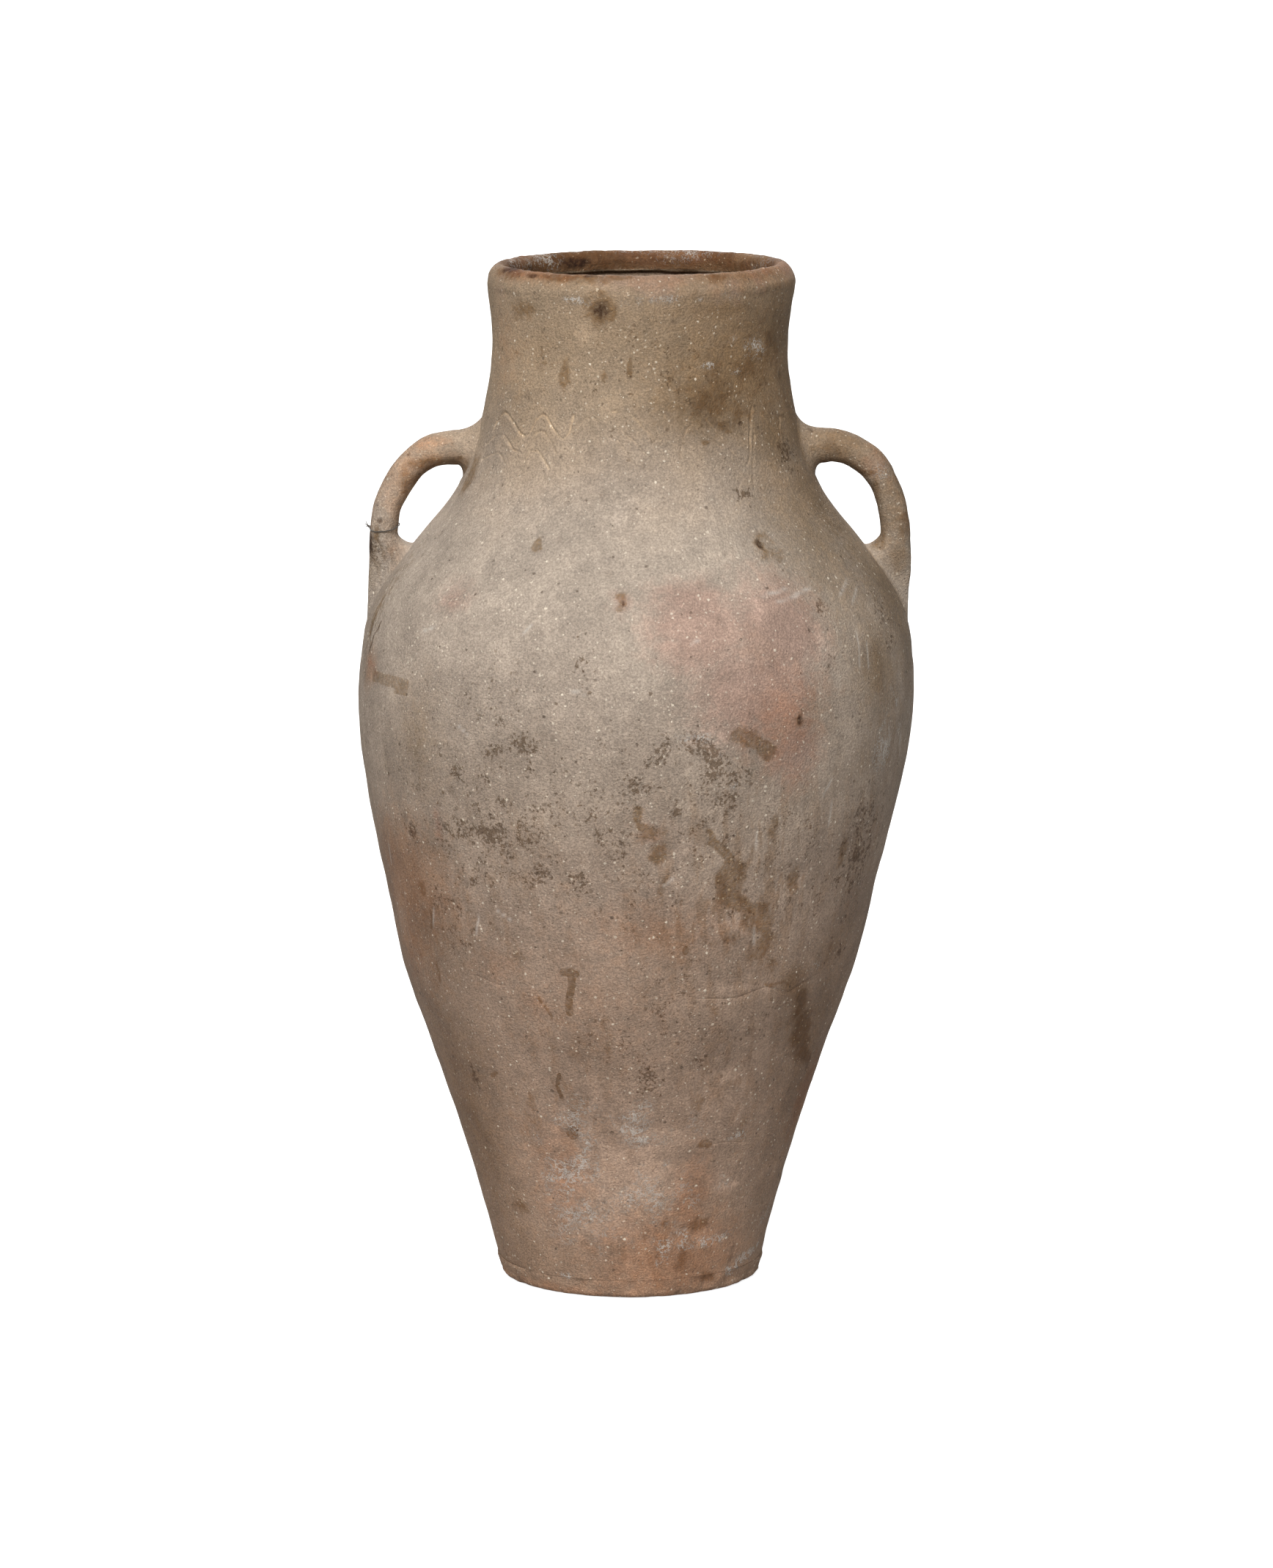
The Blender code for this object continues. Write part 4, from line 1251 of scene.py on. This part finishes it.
def makeRim(values):
    azimuth = roundSteps(values["front"], values["back"])
    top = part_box("rim_lip")[1].z
    below, radii = (np.array(v) for v in zip(*values["section"]))
    along = np.concatenate([[0], np.cumsum(np.hypot(np.diff(below), np.diff(radii)))])
    share = along / along[-1]
    smoothBelow = naturalSpline(share, below)
    smoothRadius = naturalSpline(share, radii)
    s = np.linspace(0, 1, 46)
    height = top - smoothBelow(s)[:, None] / 1000 + np.zeros_like(azimuth)
    radius = smoothRadius(s)[:, None] / 1000 + np.zeros_like(azimuth)
    height[0] = jointHeight("rim", joints["rim"], azimuth)
    radius[0] = outerRadius(height[0])
    turn = np.broadcast_to(azimuth, height.shape)
    shareGrid = np.broadcast_to(s[:, None], height.shape)
    place = unwrapped(turn, height, radius)
    crest = np.exp(-((shareGrid - 0.5) / 0.2) ** 2)
    wave = 0.0006 * lumps(place * np.array([1, 1, 0.2]), 0.05, 51) + 0.0004 * lumps(place, 0.018, 52)
    grit = values["crestWear"] * (0.5 * lumps(place, 0.006, 53) + 0.35 * lumps(place, 0.003, 54))
    outward = np.cos(np.clip(shareGrid * 1.6, 0, 1) * math.pi)  # outside to inside
    radius = radius + (wave + grit * 0.7) * outward * smoothStep(0.0, 0.22, shareGrid)
    height = height + crest * (wave * 0.8 + grit)
    inner = smoothStep(0.62, 0.8, shareGrid)
    radius = radius + inner * (0.0006 * lumps(place, 0.012, 55))
    body, push = skinFields(turn, height, radius)
    outerPart = 1 - smoothStep(0.15, 0.3, shareGrid)
    radius = radius + push * outerPart
    points = [skinPoint(turn, height, radius)]

    # ledge under the inner band and the hidden joint face back to the outside
    ledgeHeight = top - 0.0157
    neckTop = wallSpans["neck_collar"][1][-1]
    ledge = [(0.0990, 0.0010), (0.1000, 0.0), (neckTop[1], 0.0), (neckTop[1] + 0.004, -0.0004)]
    for r, up in ledge:
        z = np.full_like(azimuth, ledgeHeight + up)
        z = z + 0.0004 * lumps(unwrapped(azimuth, z, r), 0.012, 56)
        points.append(skinPoint(azimuth, z, np.full_like(azimuth, r))[None])
    points = np.concatenate(points)
    fields = {key: value * outerPart for key, value in body.items()}
    fields["worn"] = np.zeros_like(height)
    for kind, marks in rimMarks.items():
        for degrees, centre, halfTurn, halfShare, strength in marks:
            away = np.hypot(degreesFrom(turn, degrees) / halfTurn, (shareGrid - centre) / halfShare)
            fields[kind] = np.maximum(fields[kind], strength * np.clip(1 - away / 2, 0, 1))
    extra = len(points) - len(height)
    fields = {key: np.concatenate([value, np.zeros((extra, len(azimuth)))]) for key, value in fields.items()}
    piece = meshFromGrid("rim_lip_clay", points, fields)
    finishPiece(piece, "rim_clay", [clays["rim"]], "rim_lip")


makeRim(rimValues)


# joint coils pressed along the inside
coilValues = {"steps": 300, "depth": 0.0055}
coilNodes = ("base_coil", "foot_coil", "waist_coil", "belly_coil", "neck_coil")


def makeCoil(name, values):
    azimuth = np.linspace(0, 2 * math.pi, values["steps"], endpoint=False)
    low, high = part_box(name)
    middle = (low.z + high.z) / 2
    half = (high.z - low.z) / 2 - 0.0006
    rows = []
    for k in range(13):  # rounded inner face, then a flat back against the wall
        angle = math.pi * k / 12
        rows.append((middle + half * math.cos(angle), values["depth"] * math.sin(angle) ** 0.8))
    rows += [(middle - half * 0.5, -0.0006), (middle + half * 0.5, -0.0006)]
    heights, depths = (np.array(v)[:, None] for v in zip(*rows))
    turn = np.broadcast_to(azimuth, (len(rows), len(azimuth)))
    height = heights + 0.0012 * np.sin(3 * turn + middle * 40)
    seat = innerRadius(np.maximum(height, wallSpans["foot_wall"][1][0][0]))
    place = unwrapped(turn, height, seat)
    press = 1 + 0.25 * lumps(place, 0.016, 61)  # finger presses
    points = skinPoint(turn, height, seat - np.broadcast_to(depths, height.shape) * press)
    piece = meshFromGrid(name + "_clay", points)
    finishPiece(piece, "inside_clay", [clays["inside"]], name)


for coilName in coilNodes:
    makeCoil(coilName, coilValues)


# handles and their smoothed-on roots
handleValues = {
    "left": {
        "side": -1,
        # middle line of the strap from the neck out and down: x, z, half thickness, half width
        "path": [
            (-0.1330, 0.6231, 0.0127, 0.0150), (-0.1420, 0.6228, 0.0122, 0.0146), (-0.1520, 0.6203, 0.0116, 0.0143),
            (-0.1600, 0.6155, 0.0112, 0.0141), (-0.1673, 0.6090, 0.0110, 0.0140), (-0.1756, 0.5980, 0.0107, 0.0140),
            (-0.1813, 0.5870, 0.0104, 0.0140), (-0.1847, 0.5780, 0.0103, 0.0141), (-0.1864, 0.5687, 0.0103, 0.0143),
            (-0.1872, 0.5615, 0.0103, 0.0146),
        ],
        "upperLoop": {"middle": 0.6235, "up": 0.0290, "down": 0.0245, "wide": 0.0310},
        "lowerLoop": {"middle": 0.5350, "up": 0.0190, "down": 0.0530, "wide": 0.0188},
    },
    "right": {
        "side": 1,
        "path": [
            (0.1375, 0.6247, 0.0128, 0.0150), (0.1460, 0.6246, 0.0120, 0.0146), (0.1550, 0.6225, 0.0116, 0.0143),
            (0.1622, 0.6192, 0.0114, 0.0142), (0.1700, 0.6140, 0.0113, 0.0141), (0.1762, 0.6081, 0.0112, 0.0140),
            (0.1829, 0.5980, 0.0109, 0.0140), (0.1875, 0.5865, 0.0110, 0.0140), (0.1897, 0.5770, 0.0110, 0.0141),
            (0.1910, 0.5680, 0.0108, 0.0143), (0.1917, 0.5610, 0.0107, 0.0146),
        ],
        "upperLoop": {"middle": 0.6245, "up": 0.0290, "down": 0.0240, "wide": 0.0310},
        "lowerLoop": {"middle": 0.5350, "up": 0.0180, "down": 0.0580, "wide": 0.0188},
    },
    "roundSteps": 96,
    "alongStep": 0.0014,
    "rootRows": 26,
    "dents": [(0.0007, 0.030, 71), (0.00045, 0.012, 72), (0.00015, 0.004, 73)],  # reach, size, seed
    "squareness": 0.88,  # 1 is a plain ellipse in section
}

# centre x y z mm, half sizes mm, strength
handleMarks = {
    "brown": [
        ((-140, 0, 611), (18, 22, 6), 1.0), ((-160, 4, 600), (9, 16, 8), 0.7),
        ((-150, -13, 612), (14, 6, 4), 0.9), ((-172, -13, 600), (4, 6, 12), 0.7),
        ((182, 0, 553), (7, 12, 8), 0.9), ((145, 0, 611), (16, 18, 5), 0.8),
        ((140, -14, 622), (12, 8, 8), 0.5), ((165, -12, 606), (12, 5, 4), 0.8),
        ((176, -13, 588), (3, 5, 16), 0.7), ((196, -10, 566), (8, 8, 12), 0.6),
        ((-193, -14, 558), (3, 6, 8), 0.6),
    ],
    "worn": [
        ((-197, 0, 575), (3, 9, 22), 0.8), ((-156, -10, 628), (18, 8, 5), 0.8),
    ],
    "dark": [
        ((-157, -10, 630), (2, 2, 1.5), 0.8), ((-168, -10, 618), (1.5, 2, 2), 0.8),
        ((-199, -6, 553), (4, 7, 9), 0.8), ((-190, -15, 545), (3, 4, 12), 0.5),
        ((-190, -14, 570), (2, 2, 2), 1.0), ((128, -8, 636), (3, 5, 3), 0.7),
    ],
    "warm": [
        ((-178, -15, 548), (9, 9, 13), 0.6), ((165, 0, 620), (40, 20, 20), 0.4),
        ((195, 0, 580), (14, 18, 40), 0.5), ((-168, -6, 600), (34, 24, 34), 0.7),
    ],
    "blush": [
        ((178, -10, 612), (14, 12, 12), 0.5),
    ],
    "lime": [
        ((186, -14, 606), (8, 5, 7), 0.35),
    ],
    "pale": [
        ((-165, -12, 618), (26, 8, 12), 0.8), ((-185, -14, 590), (8, 6, 18), 0.5),
    ],
    # painted shade: darkens the right handle, on the shaded side, and the underside and low part of the left handle
    "umberAndPaintedShade": [
        ((195, -12, 545), (12, 12, 22), 0.8), ((190, 0, 590), (26, 26, 56), 1.0),
        ((150, -8, 622), (34, 24, 26), 0.9), ((-199, 0, 548), (8, 12, 22), 0.7),
        ((-150, -8, 616), (30, 20, 9), 0.6), ((-182, -6, 585), (10, 18, 26), 0.35),
        ((-142, 6, 606), (30, 24, 10), 0.9), ((-178, 6, 590), (8, 20, 30), 0.5),
    ],
    "mildew": [
        ((-196, -8, 552), (4, 10, 12), 0.8),
    ],
    "streak": [
        ((-192, -10, 548), (14, 14, 26), 0.8),
    ],
}


def catmull(points, count):
    # smooth path through the points, evenly spaced
    points = np.array(points)
    padded = np.vstack([2 * points[0] - points[1], points, 2 * points[-1] - points[-2]])
    dense = []
    for i in range(1, len(padded) - 2):
        p0, p1, p2, p3 = padded[i - 1:i + 3]
        for t in np.linspace(0, 1, 24, endpoint=False):
            square, cube = 2 * p0 - 5 * p1 + 4 * p2 - p3, 3 * p1 - p0 - 3 * p2 + p3
            dense.append(0.5 * (2 * p1 + (p2 - p0) * t + square * t ** 2 + cube * t ** 3))
    dense.append(points[-1])
    dense = np.array(dense)
    length = np.concatenate([[0], np.cumsum(np.linalg.norm(np.diff(dense[:, :2], axis=0), axis=1))])
    even = np.linspace(0, length[-1], count)
    return np.stack([np.interp(even, length, dense[:, k]) for k in range(dense.shape[1])], -1)


def squared(turned):
    return np.sign(turned) * np.abs(turned) ** handleValues["squareness"]


def wallSpot(side, sideways, height, sink):
    # a point on the outer skin beside the handle, sideways metres toward the front, with its directions
    radius = outerRadius(height)
    slope = radiusSlope(outerRadius, height)
    azimuth = side * (math.pi / 2 - sideways / radius)
    point = skinPoint(azimuth, height, radius, -sink * np.ones_like(height), slope)
    size = np.sqrt(1 + slope ** 2)
    up = np.stack([slope * np.sin(azimuth), -slope * np.cos(azimuth), np.ones_like(slope)], -1)
    up /= size[:, None]
    forward = np.stack([-np.cos(azimuth), -side * np.sin(azimuth), np.zeros_like(slope)], -1)
    return point, up, forward


def handleGrid(values, steps, alongStep):
    side = values["side"]
    theta = np.linspace(0, 2 * math.pi, steps, endpoint=False)  # 0 outer side, a quarter toward the front
    path = np.array(values["path"])
    length = np.linalg.norm(np.diff(path[:, :2], axis=0), axis=1).sum()
    spine = catmull(values["path"], int(length / alongStep))
    tangent = np.gradient(spine[:, :2], axis=0)
    tangent /= np.linalg.norm(tangent, axis=1)[:, None]
    outward = side * np.stack([-tangent[:, 1], tangent[:, 0]], -1)
    c, s = np.cos(theta), np.sin(theta)
    cc, ss = squared(c), squared(s)
    strap = np.zeros((len(spine), steps, 3))
    strap[..., 0] = spine[:, 0:1] + outward[:, 0:1] * spine[:, 2:3] * cc
    strap[..., 1] = -spine[:, 3:4] * ss
    strap[..., 2] = spine[:, 1:2] + outward[:, 1:2] * spine[:, 2:3] * cc

    def root(loop, ring, heading, upper):
        # flared skirt from the wall to the strap's end ring
        rise = c if upper else -c
        lift = rise * np.where(rise > 0, loop["up"], loop["down"])
        spot, up, forward = wallSpot(side, loop["wide"] * s, loop["middle"] + lift, 0.0009)
        along = up * rise[:, None] + forward * s[:, None]
        along /= np.linalg.norm(along, axis=1)[:, None]
        gap = np.linalg.norm(ring - spot, axis=1)[:, None]
        t = np.linspace(0, 1, handleValues["rootRows"])[:, None, None]
        pull = 1.05 * gap  # how far the skirt runs along each end before it turns
        ease = 3 * t ** 2 - 2 * t ** 3
        bend = (t ** 3 - t ** 2) * heading * pull - (t ** 3 - 2 * t ** 2 + t) * along * pull
        return (1 - ease) * spot + ease * ring + bend

    outFromNeck = np.array([tangent[0, 0], 0, tangent[0, 1]])
    downFromStrap = np.array([-tangent[-1, 0], 0, -tangent[-1, 1]])
    upper = root(values["upperLoop"], strap[0], outFromNeck, True)
    lower = root(values["lowerLoop"], strap[-1], downFromStrap, False)[::-1]
    return upper, strap, lower


def handleFields(points):
    azimuth = np.arctan2(points[..., 0], -points[..., 1])
    height = points[..., 2]
    radius = outerRadius(np.clip(height, 0.01, 0.744))
    fields, _ = skinFields(azimuth, height, radius)
    offWall = np.hypot(points[..., 0] - leanAt(height), points[..., 1]) - radius
    onWall = np.exp(-np.clip(offWall, 0, 1) / 0.004)
    for key in fields:
        fields[key] = fields[key] * onWall
    fields["worn"] = np.zeros_like(height)
    for kind, marks in handleMarks.items():
        for centre, half, strength in marks:
            away = np.linalg.norm((points * 1000 - centre) / half, axis=-1)
            fields[kind] = np.maximum(fields[kind], strength * np.clip(1 - away / 2, 0, 1))
    return fields


def gridNormals(points):
    along = np.gradient(points, axis=0)
    around = (np.roll(points, -1, axis=1) - np.roll(points, 1, axis=1)) / 2
    normal = np.cross(around, along)
    return normal / np.maximum(np.linalg.norm(normal, axis=-1, keepdims=True), 1e-12)


def makeHandle(which, shared):
    values = shared[which]
    upper, strap, lower = handleGrid(values, shared["roundSteps"], shared["alongStep"])
    whole = np.concatenate([upper[:-1], strap, lower[1:]])
    normal = gridNormals(whole)
    middle = whole[len(upper) + len(strap) // 2]
    check = ((middle - middle.mean(0)) * normal[len(upper) + len(strap) // 2]).sum()
    normal *= 1 if check > 0 else -1
    body = np.ones(len(whole))
    body[:12] = np.linspace(0, 1, 12)
    body[-12:] = np.linspace(1, 0, 12)
    push = sum(reach * lumps(whole, size, seed) for reach, size, seed in shared["dents"])
    whole = whole + normal * (push * body[:, None])[..., None]
    fields = handleFields(whole)
    cut = (0, len(upper) - 1, len(upper) + len(strap) - 2, len(whole) - 1)
    names = (which + "_upper_wad", which + "_handle", which + "_lower_wad")
    for name, a, b in zip(names, cut[:-1], cut[1:]):
        points = whole[a:b + 1]
        part = {key: value[a:b + 1] for key, value in fields.items()}
        if name.endswith("wad"):
            # hidden back face just inside the wall
            end = 0 if "upper" in name else len(points) - 1
            at = 0 if "upper" in name else len(points)
            points = np.insert(points, at, points[end] * (0.985, 0.985, 1.0), axis=0)
            part = {key: np.insert(value, at, 0.0, axis=0) for key, value in part.items()}
        piece = meshFromGrid(name + "_clay", points, part, closedRows=False, caps=(True, True))
        finishPiece(piece, "handle_clay", [clays["handle"]], name)


makeHandle("left", handleValues)
makeHandle("right", handleValues)


# thread tied round the left handle
threadValues = {
    "radius": 0.00042,
    # round the strap: angle in degrees from the outer side, height
    "loop": [(0, 0.5640), (30, 0.5622), (60, 0.5617), (90, 0.5623), (125, 0.5634), (160, 0.5652),
             (190, 0.5660), (230, 0.5650), (290, 0.5638), (330, 0.5640)],
    "color": (0.020, 0.017, 0.014),
    "endColor": (0.14, 0.115, 0.09),
    # three frayed ends and the knot, from the knot out in tenths of a mm
    "ends": [
        [(0, 0, 0), (-12, -6, 10), (-22, -10, 26), (-30, -12, 46)],
        [(0, 0, 0), (-13, 4, 3), (-26, 8, 16), (-42, 10, 22)],
        [(0, 0, 0), (-6, -10, -4), (-16, -14, 4), (-32, -16, 7)],
        [(-3, 12, 4), (-9, 4, 9), (-9, -8, 7), (-2, -14, -2)],
    ],
}


def threadMaterial(values):
    material = bpy.data.materials.new("tieThread")
    material.use_nodes = True
    tree = material.node_tree
    shader = tree.nodes["Principled BSDF"]
    coords = tree.nodes.new("ShaderNodeTexCoord").outputs["Object"]
    ply = noiseNode(tree, coords, 0.0006, 3, 0.7).outputs[0]
    color = mixNode(tree, rangeNode(tree, ply, 0.35, 0.75), values["color"], values["endColor"])
    link(tree, color, shader.inputs["Base Color"])
    link(tree, rangeNode(tree, ply, 0.2, 0.8, 0.75, 0.95), shader.inputs["Roughness"])
    shader.inputs["Sheen Weight"].default_value = 0.2
    bump = tree.nodes.new("ShaderNodeBump")
    bump.inputs["Distance"].default_value = 0.0002
    link(tree, ply, bump.inputs["Height"])
    link(tree, bump.outputs[0], shader.inputs["Normal"])
    return material


def tube(path, radius, sides=8):
    # rows of points round a path
    path = np.array(path)
    radius = np.broadcast_to(radius, len(path))
    tangent = np.gradient(path, axis=0)
    tangent /= np.linalg.norm(tangent, axis=1)[:, None]
    side = np.cross(tangent, (0.13, 0.21, 0.97))
    side /= np.linalg.norm(side, axis=1)[:, None]
    other = np.cross(tangent, side)
    theta = np.linspace(0, 2 * math.pi, sides, endpoint=False)
    ring = side[:, None] * np.cos(theta)[None, :, None] + other[:, None] * np.sin(theta)[None, :, None]
    return path[:, None] + ring * radius[:, None, None]


def makeThread(values):
    degrees, heights = zip(*values["loop"])
    theta = np.radians(np.linspace(0, 360, 160, endpoint=False))
    z = np.interp(np.degrees(theta), list(degrees) + [360], list(heights) + [heights[0]])
    spine = catmull(handleValues["left"]["path"], 200)
    x0 = np.interp(z, spine[::-1, 1], spine[::-1, 0])
    thick = np.interp(z, spine[::-1, 1], spine[::-1, 2]) + 0.0005
    wide = np.interp(z, spine[::-1, 1], spine[::-1, 3]) + 0.0006
    path = np.stack([x0 - thick * squared(np.cos(theta)), -wide * squared(np.sin(theta)), z], -1)
    path += 0.00012 * np.stack([lumps(path, 0.004, 81 + k) for k in range(3)], -1)
    twist = 1 + 0.15 * np.sin(theta * 90)
    rows = tube(np.vstack([path[-1], path, path[0], path[1]]), values["radius"])[1:-2]
    rows = path[:, None] + (rows - path[:, None]) * twist[:, None, None]
    main = meshFromGrid("handle_tie_thread_yarn", rows)
    main.data.materials.append(threadMaterial(values))
    pieces = [main]
    for number, end in enumerate(values["ends"]):
        line = catmull([tuple(path[0] + np.array(p) / 10000) + (0.0,) for p in end], 14)[:, :3]
        taper = np.linspace(1.0, 0.45 if number < 3 else 1.0, len(line)) * values["radius"]
        rows = tube(line, taper, 6)
        fibre = meshFromGrid("threadEnd" + str(number), rows, closedRows=False, caps=(True, True))
        fibre.data.materials.append(main.data.materials[0])
        pieces.append(fibre)
    chosen = {"active_object": main, "selected_editable_objects": pieces, "selected_objects": pieces}
    with bpy.context.temp_override(**chosen):
        bpy.ops.object.join()
    finishPiece(main, "tie_thread", [], "handle_tie_thread")


makeThread(threadValues)
